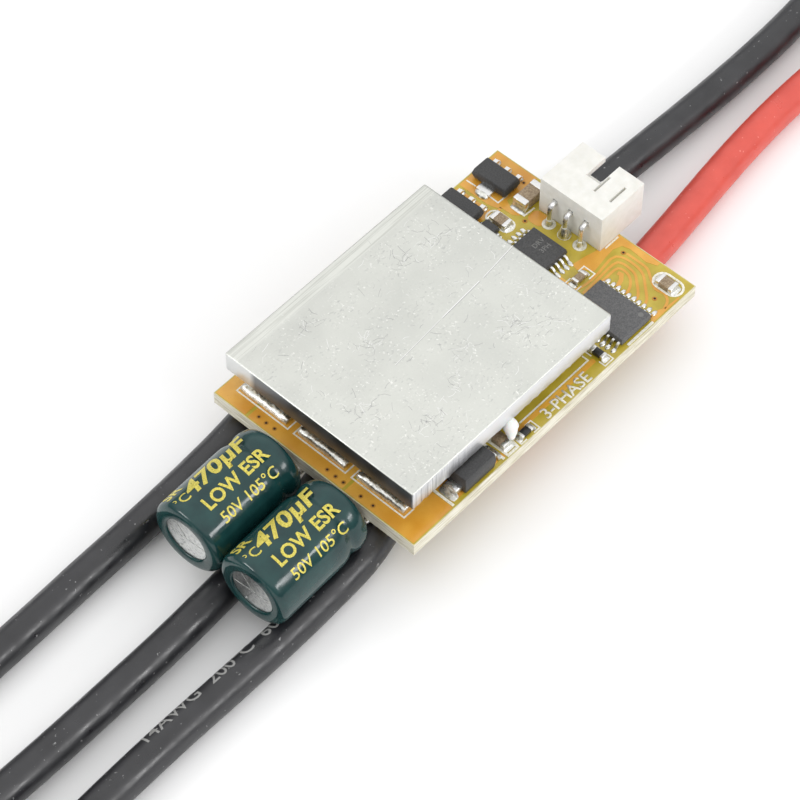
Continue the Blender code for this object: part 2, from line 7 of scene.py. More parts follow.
import bmesh
import bpy
from mathutils import Matrix, Vector, noise


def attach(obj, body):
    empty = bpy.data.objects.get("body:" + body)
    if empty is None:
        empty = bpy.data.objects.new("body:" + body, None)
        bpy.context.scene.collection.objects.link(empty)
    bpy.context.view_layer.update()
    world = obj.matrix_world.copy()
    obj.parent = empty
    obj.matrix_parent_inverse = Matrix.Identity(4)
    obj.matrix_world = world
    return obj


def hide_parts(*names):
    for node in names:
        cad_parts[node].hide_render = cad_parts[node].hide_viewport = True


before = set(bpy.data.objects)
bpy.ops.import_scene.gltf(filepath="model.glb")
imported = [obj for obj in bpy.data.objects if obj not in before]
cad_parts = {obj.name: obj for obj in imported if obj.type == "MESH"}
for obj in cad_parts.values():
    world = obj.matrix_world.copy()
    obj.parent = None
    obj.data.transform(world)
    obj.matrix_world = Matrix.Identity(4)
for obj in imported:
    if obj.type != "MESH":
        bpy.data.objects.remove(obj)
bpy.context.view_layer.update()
MM = 0.001

# ---- dimensions shared with the CAD source ---------------------------------------------------------------
BOARD_LENGTH = 40.8
BOARD_WIDTH = 25.7
BOARD_TOP = 1.6
GAP = 0.05
ON_BOARD = BOARD_TOP + GAP

HEAT_SINK_SIZE = (28.0, 23.9, 2.5)
HEAT_SINK_CENTRE = (-4.85, 0.65)
HEAT_SINK_TOP = 6.6
TRANSISTOR_SIZE = (6.1, 6.5, 2.3)
TRANSISTOR_ROWS = (-13.2, -2.4)
TRANSISTOR_PITCH = 7.5
TAB_LENGTH = 1.25
TRANSISTOR_MIDDLE_Y = 0.8
ADHESIVE_Z = 4.0

CAPACITOR_LENGTH = 11.72
CAPACITOR_RADIUS = 4.05
CAPACITOR_NEAR_X = -22.4
CAPACITOR_Z = 1.9
CAPACITOR_SPLAY = 1.7
CAPACITOR_ROWS = {1: 3.25, 2: -5.15}
CAPACITOR_LEAD_PITCH = 3.5
CAPACITOR_WIRE_RADIUS = 0.3

HEADER_SIZE = (6.35, 7.9, 4.8)
HEADER_NEAR_X = 17.35
HEADER_Y = 0.75
PIN_ROWS = (2.75, 0.75, -1.25)
PIN_SIZE = 0.5
PIN_HOLE_X = 16.6
PIN_LEVEL = ON_BOARD + 2.8

LEAD_RADIUS = 1.75
CONDUCTOR_RADIUS = 0.95
TIP_LENGTH = 6.0
LEAD_REST_Z = -3.2
LEAD_START_Z = -1.9
LEAD_DROP_Z = -2.6
FLOOR_Z = LEAD_REST_Z - LEAD_RADIUS - 0.06

LEAD_PATHS = {
    "motor_lead_1": [(-14.5, 10.6), (-18.5, 10.5), (-22.5, 10.35), (-28.0, 10.0), (-34.0, 9.75),
                     (-41.0, 9.6), (-48.0, 9.4), (-56.0, 9.3), (-64.0, 9.7), (-72.0, 10.4), (-80.0, 11.3),
                     (-88.0, 12.4), (-96.0, 13.7)],
    "motor_lead_2": [(-14.5, 0.7), (-18.5, 0.4), (-22.5, -0.15), (-28.0, -0.6), (-34.0, -1.0),
                     (-41.0, -1.35), (-48.0, -1.45), (-56.0, -1.5), (-64.0, -1.35), (-72.0, -1.0),
                     (-80.0, -0.55), (-88.0, -0.05), (-96.0, 0.55)],
    "motor_lead_3": [(-14.5, -7.0), (-18.5, -7.5), (-22.5, -8.15), (-28.0, -8.5), (-34.0, -8.65),
                     (-41.0, -8.6), (-48.0, -8.5), (-56.0, -8.6), (-64.0, -8.95), (-72.0, -9.55),
                     (-80.0, -10.45), (-88.0, -11.7), (-96.0, -13.1)],
    "battery_lead_negative": [(14.0, 4.7), (18.0, 4.7), (22.5, 4.7), (28.0, 4.55), (34.0, 4.3),
                              (40.0, 4.05), (46.0, 3.9), (52.0, 3.9), (58.0, 4.15), (66.0, 4.85),
                              (74.0, 6.0), (82.0, 7.4), (90.0, 9.0)],
    "battery_lead_positive": [(14.0, -5.75), (18.0, -5.45), (22.5, -4.95), (28.0, -4.4), (34.0, -3.65),
                              (40.0, -3.0), (46.0, -2.6), (52.0, -2.5), (58.0, -2.75), (66.0, -3.35),
                              (74.0, -4.35), (82.0, -5.65), (90.0, -7.25)],
}


def drop_lead(path):
    """Gives a lead's middle line its heights: it drops from under the board and then lies level."""
    heights = [LEAD_START_Z, LEAD_DROP_Z] + [LEAD_REST_Z] * (len(path) - 2)
    return [(x, y, z) for (x, y), z in zip(path, heights)]


LEAD_ROUTES = {name: drop_lead(path) for name, path in LEAD_PATHS.items()}

# Heights of the thin layers on the board's top face.
MASK_TOP = BOARD_TOP + 0.02
COPPER_TOP = BOARD_TOP + 0.045
PRINT_TOP = BOARD_TOP + 0.06

UPSIDE_DOWN = Matrix.Diagonal((1, 1, -1, 1))


# ---- camera, lights and floor ----------------------------------------------------------------------------
def make_camera():
    azimuth, elevation = math.radians(-47.6), math.radians(54.3)
    aim = Vector((-9.1, -0.8, 1.6)) * MM
    distance = 294.5
    back = Vector((math.sin(azimuth) * math.cos(elevation), -math.cos(azimuth) * math.cos(elevation),
                   math.sin(elevation)))
    camera = bpy.data.objects.new("camera", bpy.data.cameras.new("camera"))
    bpy.context.scene.collection.objects.link(camera)
    camera.location = aim + back * distance * MM
    camera.rotation_euler = back.to_track_quat("Z", "Y").to_euler()
    camera.data.lens = 139.8
    camera.data.clip_start = 0.01
    bpy.context.scene.camera = camera


def softbox(name, direction, distance, width, height, watts):
    """A rectangular lamp in that direction from the part, turned towards it, with its width kept level."""
    lamp = bpy.data.objects.new(name, bpy.data.lights.new(name, "AREA"))
    bpy.context.scene.collection.objects.link(lamp)
    towards = Vector(direction).normalized()
    lamp.location = towards * distance * MM
    lamp.rotation_euler = towards.to_track_quat("Z", "Y").to_euler()
    lamp.data.shape = "RECTANGLE"
    lamp.data.size = width * MM
    lamp.data.size_y = height * MM
    lamp.data.energy = watts


def make_studio():
    """A dome of light, bright overhead and dimmer towards the horizon, with two weak lamps to shape it."""
    world = bpy.data.worlds.new("studio")
    world.use_nodes = True
    nodes, links = world.node_tree.nodes, world.node_tree.links
    direction = nodes.new("ShaderNodeTexCoord")
    split = nodes.new("ShaderNodeSeparateXYZ")
    ramp = nodes.new("ShaderNodeValToRGB")
    links.new(direction.outputs["Generated"], split.inputs["Vector"])
    links.new(split.outputs["Z"], ramp.inputs["Fac"])
    links.new(ramp.outputs["Color"], nodes["Background"].inputs["Color"])
    nodes["Background"].inputs["Strength"].default_value = 1.16
    elements = ramp.color_ramp.elements
    elements[0].color = (0.24, 0.24, 0.25, 1.0)
    elements[1].color = (1.0, 1.0, 1.0, 1.0)
    elements.new(0.28).color = (0.42, 0.42, 0.43, 1.0)
    elements.new(0.5).color = (0.95, 0.95, 0.95, 1.0)
    bpy.context.scene.world = world
    softbox("front_softbox", (0.15, -0.85, 0.5), 420, 260, 60, 0.5)
    softbox("side_softbox", (-0.8, 0.45, 0.45), 420, 200, 60, 0.35)
    shape = bmesh.new()
    bmesh.ops.create_grid(shape, x_segments=1, y_segments=1, size=1500)
    bmesh.ops.translate(shape, vec=(0, 0, FLOOR_Z), verts=shape.verts)
    floor = new_object("floor", shape, floor_material())
    bpy.context.scene.view_settings.view_transform = "Standard"


# ---- material helpers ------------------------------------------------------------------------------------
def srgb(red, green, blue):
    """A colour given as 0 to 255 in sRGB, as the linear colour that a shader takes."""
    def linear(level):
        level /= 255
        return level / 12.92 if level <= 0.04045 else ((level + 0.055) / 1.055) ** 2.4
    return (linear(red), linear(green), linear(blue), 1.0)


class Look:
    """A Principled material with short ways to add procedural detail. Texture lengths are in millimetres."""

    def __init__(self, name, colour, roughness, metallic=0.0):
        self.material = bpy.data.materials.new(name)
        self.material.use_nodes = True
        self.nodes = self.material.node_tree.nodes
        self.links = self.material.node_tree.links
        self.shader = self.nodes["Principled BSDF"]
        self.set("Base Color", colour)
        self.set("Roughness", roughness)
        self.set("Metallic", metallic)

    def set(self, socket, value):
        self.shader.inputs[socket].default_value = value

    def wire(self, output, socket):
        self.links.new(output, self.shader.inputs[socket])

    def place(self, stretch):
        source = self.nodes.new("ShaderNodeTexCoord")
        mapping = self.nodes.new("ShaderNodeMapping")
        mapping.inputs["Scale"].default_value = [1000 * share for share in stretch]
        self.links.new(source.outputs["Object"], mapping.inputs["Vector"])
        return mapping.outputs["Vector"]

    def grain(self, grains_per_mm, detail=3.0, stretch=(1.0, 1.0, 1.0)):
        texture = self.nodes.new("ShaderNodeTexNoise")
        texture.inputs["Scale"].default_value = grains_per_mm
        texture.inputs["Detail"].default_value = detail
        self.links.new(self.place(stretch), texture.inputs["Vector"])
        return texture.outputs["Fac"]

    def ramp(self, factor, *stops):
        """stops are (position, colour) pairs from low to high."""
        ramp = self.nodes.new("ShaderNodeValToRGB")
        elements = ramp.color_ramp.elements
        for element, (position, colour) in zip(elements, (stops[0], stops[-1])):
            element.position = position
            element.color = colour
        for position, colour in stops[1:-1]:
            elements.new(position).color = colour
        self.links.new(factor, ramp.inputs["Fac"])
        return ramp.outputs["Color"]

    def levels(self, factor, *stops):
        """The same as ramp for plain numbers."""
        return self.ramp(factor, *[(position, (level, level, level, 1.0)) for position, level in stops])

    def mix(self, factor, first, second):
        """Blends two colours, or two colour outputs, by a factor output or number."""
        blend = self.nodes.new("ShaderNodeMix")
        blend.data_type = "RGBA"
        sockets = {"Factor": blend.inputs[0], "A": blend.inputs[6], "B": blend.inputs[7]}
        for label, value in (("Factor", factor), ("A", first), ("B", second)):
            if isinstance(value, bpy.types.NodeSocket):
                self.links.new(value, sockets[label])
            else:
                sockets[label].default_value = value
        return blend.outputs[2]

    def tint(self, factor, *stops):
        self.wire(self.ramp(factor, *stops), "Base Color")

    def gloss(self, factor, *stops):
        """stops are (position, roughness) pairs from low to high."""
        self.wire(self.levels(factor, *stops), "Roughness")

    def product(self, first, second):
        multiply = self.nodes.new("ShaderNodeMath")
        multiply.operation = "MULTIPLY"
        self.links.new(first, multiply.inputs[0])
        self.links.new(second, multiply.inputs[1])
        return multiply.outputs["Value"]

    def bump(self, height, distance, strength):
        """distance is the height of the relief in millimetres."""
        relief = self.nodes.new("ShaderNodeBump")
        relief.inputs["Distance"].default_value = distance * MM
        relief.inputs["Strength"].default_value = strength
        self.links.new(height, relief.inputs["Height"])
        self.wire(relief.outputs["Normal"], "Normal")

    def facing(self, axis):
        """How much a surface faces along an axis of the part, either way, from 0 to 1."""
        geometry = self.nodes.new("ShaderNodeNewGeometry")
        split = self.nodes.new("ShaderNodeSeparateXYZ")
        size = self.nodes.new("ShaderNodeMath")
        size.operation = "ABSOLUTE"
        self.links.new(geometry.outputs["Normal"], split.inputs["Vector"])
        self.links.new(split.outputs[axis], size.inputs[0])
        return size.outputs["Value"]

    def coordinate(self, axis, start, end):
        """Runs from 0 to 1 along an axis of the part, between two places in millimetres."""
        source = self.nodes.new("ShaderNodeTexCoord")
        split = self.nodes.new("ShaderNodeSeparateXYZ")
        fit = self.nodes.new("ShaderNodeMapRange")
        fit.inputs["From Min"].default_value = start * MM
        fit.inputs["From Max"].default_value = end * MM
        self.links.new(source.outputs["Object"], split.inputs["Vector"])
        self.links.new(split.outputs[axis], fit.inputs["Value"])
        return fit.outputs["Result"]


# ---- materials -------------------------------------------------------------------------------------------
@functools.cache
def floor_material():
    return Look("floor", (0.94, 0.94, 0.94, 1.0), 0.7).material


@functools.cache
def laminate_material():
    """Glass-fibre board: pale cream, with the weave showing as fine lines along its cut edges."""
    look = Look("laminate", srgb(222, 216, 196), 0.55)
    layers = look.ramp(look.grain(1.0, 3.0, (0.5, 0.5, 7.0)), (0.3, srgb(188, 180, 152)),
                       (0.48, srgb(222, 216, 196)), (0.7, srgb(240, 237, 222)))
    weave = look.ramp(look.grain(3.0), (0.3, srgb(200, 194, 150)), (0.7, srgb(220, 214, 176)))
    look.wire(look.mix(look.facing("Z"), layers, weave), "Base Color")
    look.bump(look.grain(2.5, 4.0, (1.0, 1.0, 4.0)), 0.05, 0.5)
    return look.material


@functools.cache
def mask_material():
    """Solder mask over bare board."""
    look = Look("mask", srgb(184, 164, 48), 0.34)
    look.tint(look.grain(0.5), (0.3, srgb(172, 152, 36)), (0.7, srgb(196, 174, 60)))
    look.set("Coat Weight", 0.4)
    look.set("Coat Roughness", 0.15)
    look.bump(look.grain(4.0), 0.01, 0.4)
    return look.material


@functools.cache
def copper_material():
    """Solder mask over copper."""
    look = Look("copper_under_mask", srgb(222, 160, 52), 0.3)
    patches = look.ramp(look.grain(0.25), (0.3, srgb(206, 142, 38)), (0.7, srgb(230, 176, 72)))
    specks = look.levels(look.grain(6.0), (0.62, 0.0), (0.72, 0.35))
    look.wire(look.mix(specks, patches, srgb(186, 122, 34)), "Base Color")
    look.set("Coat Weight", 0.5)
    look.set("Coat Roughness", 0.12)
    look.bump(look.grain(2.5), 0.012, 0.4)
    return look.material


@functools.cache
def silkscreen_material():
    look = Look("silkscreen", srgb(238, 236, 222), 0.6)
    look.tint(look.grain(5.0), (0.3, srgb(216, 212, 190)), (0.6, srgb(242, 240, 230)))
    look.bump(look.grain(8.0), 0.01, 0.5)
    return look.material


@functools.cache
def hole_material():
    return Look("via_hole", srgb(38, 26, 12), 0.7).material


@functools.cache
def bare_copper_material():
    look = Look("via_ring", srgb(186, 128, 44), 0.35)
    look.bump(look.grain(6.0), 0.01, 0.5)
    return look.material


@functools.cache
def heat_sink_material():
    """Satin aluminium: mottled and flecked on top, with a rolled band along one edge. One side is bright with
    saw marks at one end, and one end face carries a painted reflection: dark blue-grey, darker towards the
    bottom, for the dark parts it faces, and pale at its far corner for the floor."""
    look = Look("satin_aluminium", (0.68, 0.69, 0.65, 1.0), 0.36, 1.0)
    broad = look.ramp(look.grain(0.16, 2.0), (0.35, (0.65, 0.66, 0.62, 1)), (0.6, (0.70, 0.71, 0.665, 1)))
    fine = look.levels(look.grain(2.4, 8.0, (1.0, 1.6, 1.0)), (0.32, 0.6), (0.44, 0.0))
    patchy = look.levels(look.grain(0.45, 2.0), (0.42, 0.15), (0.6, 1.0))
    mottled = look.mix(look.product(fine, patchy), broad, (0.50, 0.51, 0.49, 1))
    worn = look.levels(look.grain(3.4, 8.0, (1.4, 1.0, 1.0)), (0.6, 0.0), (0.68, 0.8))
    mottled = look.mix(look.product(worn, patchy), mottled, (0.92, 0.92, 0.88, 1))
    lines = look.ramp(look.grain(1.0, 3.0, (0.12, 7.0, 1.0)), (0.35, (0.62, 0.63, 0.58, 1)),
                      (0.55, (0.80, 0.81, 0.76, 1)))
    band = look.levels(look.coordinate("Y", 10.6, 12.7), (0.1, 0.0), (0.3, 0.85), (0.8, 0.85), (0.9, 0.4))
    top = look.mix(band, mottled, lines)
    sawn = look.ramp(look.grain(0.6, 4.0, (9.0, 9.0, 0.5)), (0.35, (0.30, 0.31, 0.33, 1)),
                     (0.6, (0.78, 0.79, 0.80, 1)))
    marks = look.levels(look.coordinate("X", -18.85, -10.0), (0.0, 0.15), (0.12, 0.7), (0.7, 0.45),
                        (1.0, 0.0))
    side = look.mix(marks, (0.80, 0.805, 0.825, 1.0), sawn)
    # Painted reflection on one end face: this blue-grey ramp, darker towards the bottom, stands in for the
    # dark capacitors and leads that the face mirrors, and the pale far corner below is a painted reflection
    # of the white floor.
    rise = look.ramp(look.coordinate("Z", 4.1, 6.6), (0.0, (0.19, 0.21, 0.24, 1)),
                     (1.0, (0.25, 0.26, 0.265, 1)))
    painted_floor_reflection_mask = look.levels(look.coordinate("Y", 7.0, 11.0), (0.42, 0.0), (0.6, 1.0))
    painted_reflection_end_face = look.mix(painted_floor_reflection_mask, rise, (0.72, 0.73, 0.72, 1))
    # Mask of the end face that gets the painted reflection.
    end = look.levels(look.facing("X"), (0.55, 0.0), (0.85, 1.0))
    near_end = look.levels(look.coordinate("X", -18.9, 9.2), (0.3, 1.0), (0.5, 0.0))
    painted_reflection_end_mask = look.product(end, near_end)
    up = look.levels(look.facing("Z"), (0.3, 0.0), (0.6, 1.0))
    look.wire(look.mix(up, look.mix(painted_reflection_end_mask, side, painted_reflection_end_face), top), "Base Color")
    look.gloss(look.grain(0.6, 4.0), (0.3, 0.34), (0.7, 0.46))
    look.bump(look.grain(5.0, 5.0), 0.01, 0.4)
    return look.material


@functools.cache
def scratch_material(name, level):
    return Look(name, (level, level, level * 0.99, 1.0), 0.45, 1.0).material


@functools.cache
def moulding_material(name, level):
    """Matt moulded epoxy of a given grey."""
    look = Look(name, (level, level, level * 1.05, 1.0), 0.5)
    dark, light = level * 0.75, level * 1.3
    look.tint(look.grain(7.0), (0.35, (dark, dark, dark * 1.04, 1)), (0.65, (light, light, light, 1)))
    look.bump(look.grain(12.0), 0.012, 0.6)
    return look.material


def black_epoxy_material():
    return moulding_material("moulded_epoxy", 0.04)


@functools.cache
def marking_material():
    return Look("chip_marking", (0.17, 0.17, 0.165, 1.0), 0.6).material


@functools.cache
def tin_material():
    """Tin plate on component leads."""
    look = Look("tin_plate", (0.78, 0.78, 0.77, 1.0), 0.28, 1.0)
    look.gloss(look.grain(3.0), (0.3, 0.2), (0.7, 0.42))
    look.bump(look.grain(6.0), 0.012, 0.5)
    return look.material


@functools.cache
def solder_material():
    """Bright solder with a slightly grainy skin."""
    look = Look("solder", (0.80, 0.80, 0.76, 1.0), 0.3, 1.0)
    look.tint(look.grain(3.0), (0.35, (0.62, 0.62, 0.57, 1)), (0.6, (0.88, 0.88, 0.84, 1)))
    look.gloss(look.grain(5.0), (0.3, 0.22), (0.7, 0.46))
    look.bump(look.grain(3.0, 4.0), 0.03, 0.5)
    return look.material


@functools.cache
def ceramic_material():
    look = Look("ceramic", srgb(146, 126, 102), 0.45)
    look.tint(look.grain(6.0), (0.35, srgb(128, 108, 84)), (0.65, srgb(164, 146, 120)))
    look.bump(look.grain(9.0), 0.01, 0.5)
    return look.material


@functools.cache
def flux_material():
    """Pads with a skin of flux residue."""
    look = Look("fluxed_pad", srgb(222, 219, 204), 0.3, 0.2)
    look.tint(look.grain(3.0), (0.3, srgb(206, 202, 184)), (0.7, srgb(234, 232, 220)))
    look.set("Coat Weight", 0.5)
    look.bump(look.grain(4.0), 0.02, 0.5)
    return look.material


@functools.cache
def resistor_material():
    look = Look("resistor_glaze", (0.02, 0.02, 0.022, 1.0), 0.3)
    look.bump(look.grain(9.0), 0.006, 0.4)
    return look.material


@functools.cache
def header_material():
    """Off-white nylon, slightly translucent."""
    look = Look("nylon", srgb(224, 223, 216), 0.42)
    look.tint(look.grain(1.2), (0.3, srgb(224, 223, 216)), (0.7, srgb(233, 232, 227)))
    look.set("Subsurface Weight", 0.2)
    look.set("Subsurface Radius", (1.0, 0.9, 0.8))
    look.set("Subsurface Scale", 0.5 * MM)
    look.bump(look.grain(3.0), 0.01, 0.4)
    return look.material


@functools.cache
def sleeve_material():
    """Glossy dark green heat-shrink film."""
    look = Look("shrink_film", (0.006, 0.040, 0.040, 1.0), 0.14)
    look.tint(look.grain(0.5), (0.3, (0.004, 0.030, 0.031, 1)), (0.7, (0.010, 0.052, 0.050, 1)))
    look.gloss(look.grain(0.35), (0.35, 0.1), (0.65, 0.22))
    look.bump(look.grain(0.8, 2.0, (0.35, 1.0, 1.0)), 0.07, 0.5)
    return look.material


@functools.cache
def gold_print_material():
    look = Look("gold_print", srgb(208, 194, 78), 0.4, 0.25)
    look.tint(look.grain(7.0), (0.3, srgb(176, 166, 62)), (0.6, srgb(222, 208, 98)))
    look.bump(look.grain(9.0), 0.01, 0.5)
    return look.material


@functools.cache
def can_material():
    look = Look("drawn_aluminium", (0.74, 0.75, 0.73, 1.0), 0.32, 1.0)
    look.tint(look.grain(3.0, 5.0, (1.0, 1.0, 1.6)), (0.32, (0.48, 0.49, 0.49, 1)),
              (0.5, (0.78, 0.79, 0.77, 1)), (0.75, (0.92, 0.92, 0.90, 1)))
    look.bump(look.grain(5.0), 0.02, 0.5)
    return look.material


@functools.cache
def rubber_material():
    look = Look("bung_rubber", (0.02, 0.02, 0.02, 1.0), 0.75)
    look.bump(look.grain(5.0), 0.02, 0.5)
    return look.material


@functools.cache
def winding_material():
    look = Look("wound_foil", (0.6, 0.55, 0.45, 1.0), 0.6)
    look.bump(look.grain(2.0), 0.02, 0.5)
    return look.material


@functools.cache
def silicone_material(name, dark, light, dust):
    """Satin silicone with slight unevenness and a few specks of dust."""
    look = Look(name, light, 0.36)
    look.set("Specular IOR Level", 0.8)
    body = look.ramp(look.grain(0.35), (0.3, dark), (0.7, light))
    specks = look.levels(look.grain(2.2, 6.0), (0.68, 0.0), (0.74, 0.6))
    look.wire(look.mix(specks, body, dust), "Base Color")
    look.gloss(look.grain(0.5, 4.0), (0.3, 0.26), (0.7, 0.5))
    look.bump(look.grain(0.9, 6.0, (0.4, 1.0, 1.0)), 0.09, 0.6)
    return look.material


@functools.cache
def adhesive_material():
    look = Look("silicone_adhesive", srgb(238, 238, 234), 0.5)
    look.set("Subsurface Weight", 0.2)
    look.set("Subsurface Scale", 0.5 * MM)
    look.bump(look.grain(2.5), 0.05, 0.6)
    return look.material


# ---- shape helpers ---------------------------------------------------------------------------------------
def new_object(name, shape, material, smooth_angle=0.0):
    """Turns a bmesh drawn in millimetres into an object in metres."""
    bmesh.ops.scale(shape, vec=(MM, MM, MM), verts=shape.verts)
    bmesh.ops.recalc_face_normals(shape, faces=shape.faces)
    mesh = bpy.data.meshes.new(name)
    shape.to_mesh(mesh)
    shape.free()
    mesh.materials.append(material)
    if smooth_angle:
        mesh.shade_smooth()
        mesh.set_sharp_from_angle(angle=math.radians(smooth_angle))
    piece = bpy.data.objects.new(name, mesh)
    bpy.context.scene.collection.objects.link(piece)
    return piece


def keep(piece, slot, *nodes):
    """Makes a piece part of the object: it rides on the only body and stands for the nodes it shows."""
    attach(piece, "root")
    if nodes:
        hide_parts(*nodes)
    return piece


def at(x, y, z, turn=0.0):
    return Matrix.Translation((x, y, z)) @ Matrix.Rotation(math.radians(turn), 4, "Z")


def add_block(shape, size, centre, bevel=0.0, segments=2, matrix=Matrix()):
    """A block with rounded edges, placed in the matrix's frame."""
    matrix_of_cube = Matrix.Translation(centre) @ Matrix.Diagonal((*size, 1))
    made = bmesh.ops.create_cube(shape, size=1.0, matrix=matrix_of_cube)
    verts = made["verts"]
    if bevel:
        edges = list({edge for vertex in verts for edge in vertex.link_edges})
        made = bmesh.ops.bevel(shape, geom=edges, offset=bevel, segments=segments, profile=0.5,
                               affect="EDGES")
        faces = {face for vertex in made["verts"] for face in vertex.link_faces}
        verts = list({vertex for face in faces for vertex in face.verts})
    bmesh.ops.transform(shape, matrix=matrix, verts=verts)


def add_moulded(shape, size, centre, draft, bevel, matrix):
    """A moulded package: its sides lean in by draft above and below its middle, and its edges are rounded."""
    length, width, height = size
    rings = []
    for level, inset in ((-0.5, draft), (0.0, 0.0), (0.5, draft)):
        x, y = length / 2 - inset, width / 2 - inset
        corners = ((-x, -y), (x, -y), (x, y), (-x, y))
        rings.append([shape.verts.new((cx, cy, level * height)) for cx, cy in corners])
    close_rings(shape, rings)
    verts = [vertex for ring in rings for vertex in ring]
    edges = list({edge for ring in (rings[0], rings[2]) for vertex in ring for edge in vertex.link_edges})
    made = bmesh.ops.bevel(shape, geom=edges, offset=bevel, segments=2, profile=0.5, affect="EDGES")
    verts = {vertex for vertex in verts if vertex.is_valid} | set(made["verts"])
    bmesh.ops.transform(shape, matrix=matrix @ Matrix.Translation(centre), verts=list(verts))


def close_rings(shape, rings, capped=True):
    """Skins a run of rings of vertices. A ring of one vertex is a pole."""
    for low, high in zip(rings, rings[1:]):
        count = max(len(low), len(high))
        for step in range(count):
            following = (step + 1) % count
            corners = [low[step % len(low)], low[following % len(low)], high[following % len(high)],
                       high[step % len(high)]]
            distinct = []
            for vertex in corners:
                if vertex not in distinct:
                    distinct.append(vertex)
            if len(distinct) > 2:
                shape.faces.new(distinct)
    if capped:
        for ring in (rings[0], rings[-1]):
            if len(ring) > 2:
                shape.faces.new(ring)


def add_turned(shape, profile, sides, matrix, closed=False):
    """A profile of (radius, height) turned about the matrix's Z."""
    rings = []
    for radius, height in profile:
        if radius < 1e-6:
            rings.append([shape.verts.new(matrix @ Vector((0, 0, height)))])
            continue
        turns = [2 * math.pi * step / sides for step in range(sides)]
        rings.append([shape.verts.new(matrix @ Vector((radius * math.cos(turn), radius * math.sin(turn),
                                                       height)))
                      for turn in turns])
    if closed:
        close_rings(shape, rings + [rings[0]], capped=False)
    else:
        close_rings(shape, rings)


def add_prism(shape, outline, low, high):
    """An outline in X and Y, raised from one height to another."""
    rings = [[shape.verts.new((x, y, level)) for x, y in outline] for level in (low, high)]
    close_rings(shape, rings)


def add_sweep(shape, points, section):
    """A skin round a run of points. section(index) gives the (sideways, upwards) offsets of one ring."""
    rings = []
    side = None
    for index, point in enumerate(points):
        along = (points[min(index + 1, len(points) - 1)] - points[max(index - 1, 0)]).normalized()
        if side is None:
            side = along.orthogonal()
        side = (side - along * side.dot(along)).normalized()
        up = along.cross(side)
        rings.append([shape.verts.new(point + side * u + up * v) for u, v in section(index)])
    close_rings(shape, rings)


def circle(radius, sides):
    turns = [2 * math.pi * step / sides for step in range(sides)]
    return [(radius * math.cos(turn), radius * math.sin(turn)) for turn in turns]


def add_round_bar(shape, points, radius, sides):
    """A round bar with softly rounded ends."""
    last = len(points) - 1
    first_way = (points[1] - points[0]).normalized()
    last_way = (points[last] - points[last - 1]).normalized()
    run = [points[0], points[0] + first_way * radius * 0.3, *points[1:last],
           points[last] - last_way * radius * 0.3, points[last]]
    radii = [radius * 0.72] + [radius] * (len(run) - 2) + [radius * 0.72]
    add_sweep(shape, run, lambda index: circle(radii[index], sides))


def add_strip(shape, route, width, low, high, closed=False):
    """A flat line of even width along a run of (x, y) points."""
    points = [Vector(point) for point in route]
    count = len(points)
    rings = []
    for index, point in enumerate(points):
        before = points[index - 1] if closed or index else point
        after = points[(index + 1) % count] if closed or index < count - 1 else point
        first = (point - before).normalized() if point != before else (after - point).normalized()
        second = (after - point).normalized() if after != point else first
        along = (first + second).normalized()
        reach = width / 2 / max(0.5, along.dot(first))
        across = Vector((-along.y, along.x)) * reach
        left, right = point + across, point - across
        rings.append([shape.verts.new((*left, low)), shape.verts.new((*left, high)),
                      shape.verts.new((*right, high)), shape.verts.new((*right, low))])
    if closed:
        close_rings(shape, rings + [rings[0]], capped=False)
    else:
        close_rings(shape, rings)


def add_dome(shape, centre, radii, sides, wobble):
    """Half an ellipsoid standing on a level face, uneven by wobble."""
    profile = [(1.0, 0.0)] + [(math.cos(turn), math.sin(turn)) for turn in
                              (math.radians(angle) for angle in (15, 32, 50, 68))] + [(0.0, 1.0)]
    matrix = Matrix.Translation(centre) @ Matrix.Diagonal((*radii, 1))
    start = len(shape.verts)
    add_turned(shape, profile, sides, matrix)
    if wobble:
        shape.verts.ensure_lookup_table()
        for vertex in shape.verts[start:]:
            offset = vertex.co - Vector(centre)
            share = 1 + wobble * noise.noise(vertex.co * 1.6)
            vertex.co = Vector(centre) + Vector((offset.x * share, offset.y * share, offset.z * share))


def rounded(low_x, low_y, high_x, high_y, radius, steps=4):
    """The outline of a rectangle with round corners."""
    outline = []
    corners = ((high_x - radius, low_y + radius, -90), (high_x - radius, high_y - radius, 0),
               (low_x + radius, high_y - radius, 90), (low_x + radius, low_y + radius, 180))
    for x, y, start in corners:
        for step in range(steps + 1):
            turn = math.radians(start + 90 * step / steps)
            outline.append((x + radius * math.cos(turn), y + radius * math.sin(turn)))
    return outline


def smooth_route(route, spacing):
    """Points at a steady spacing on a smooth curve through the route's own points."""
    knots = [Vector(point) for point in route]
    ends = [knots[0] * 2 - knots[1]] + knots + [knots[-1] * 2 - knots[-2]]
    points = []
    for before, start, end, after in zip(ends, ends[1:], ends[2:], ends[3:]):
        steps = max(1, round((end - start).length / spacing))
        for step in range(steps):
            t = step / steps
            points.append(0.5 * (2 * start + (end - before) * t
                                 + (2 * before - 5 * start + 4 * end - after) * t ** 2
                                 + (3 * start - before - 3 * end + after) * t ** 3))
    return points + [knots[-1]]


def lettering(body, height, weight):
    """Flat lettering as a bmesh in millimetres, centred on its own middle, with capitals of that height."""
    curve = bpy.data.curves.new("lettering", "FONT")
    curve.body = body
    curve.size = height / 0.7
    curve.offset = weight * height
    curve.resolution_u = 3
    curve.align_x = "CENTER"
    curve.align_y = "CENTER"
    carrier = bpy.data.objects.new("lettering", curve)
    bpy.context.scene.collection.objects.link(carrier)
    graph = bpy.context.evaluated_depsgraph_get()
    mesh = bpy.data.meshes.new_from_object(carrier.evaluated_get(graph))
    shape = bmesh.new()
    shape.from_mesh(mesh)
    bpy.data.objects.remove(carrier, do_unlink=True)
    bpy.data.meshes.remove(mesh)
    return shape


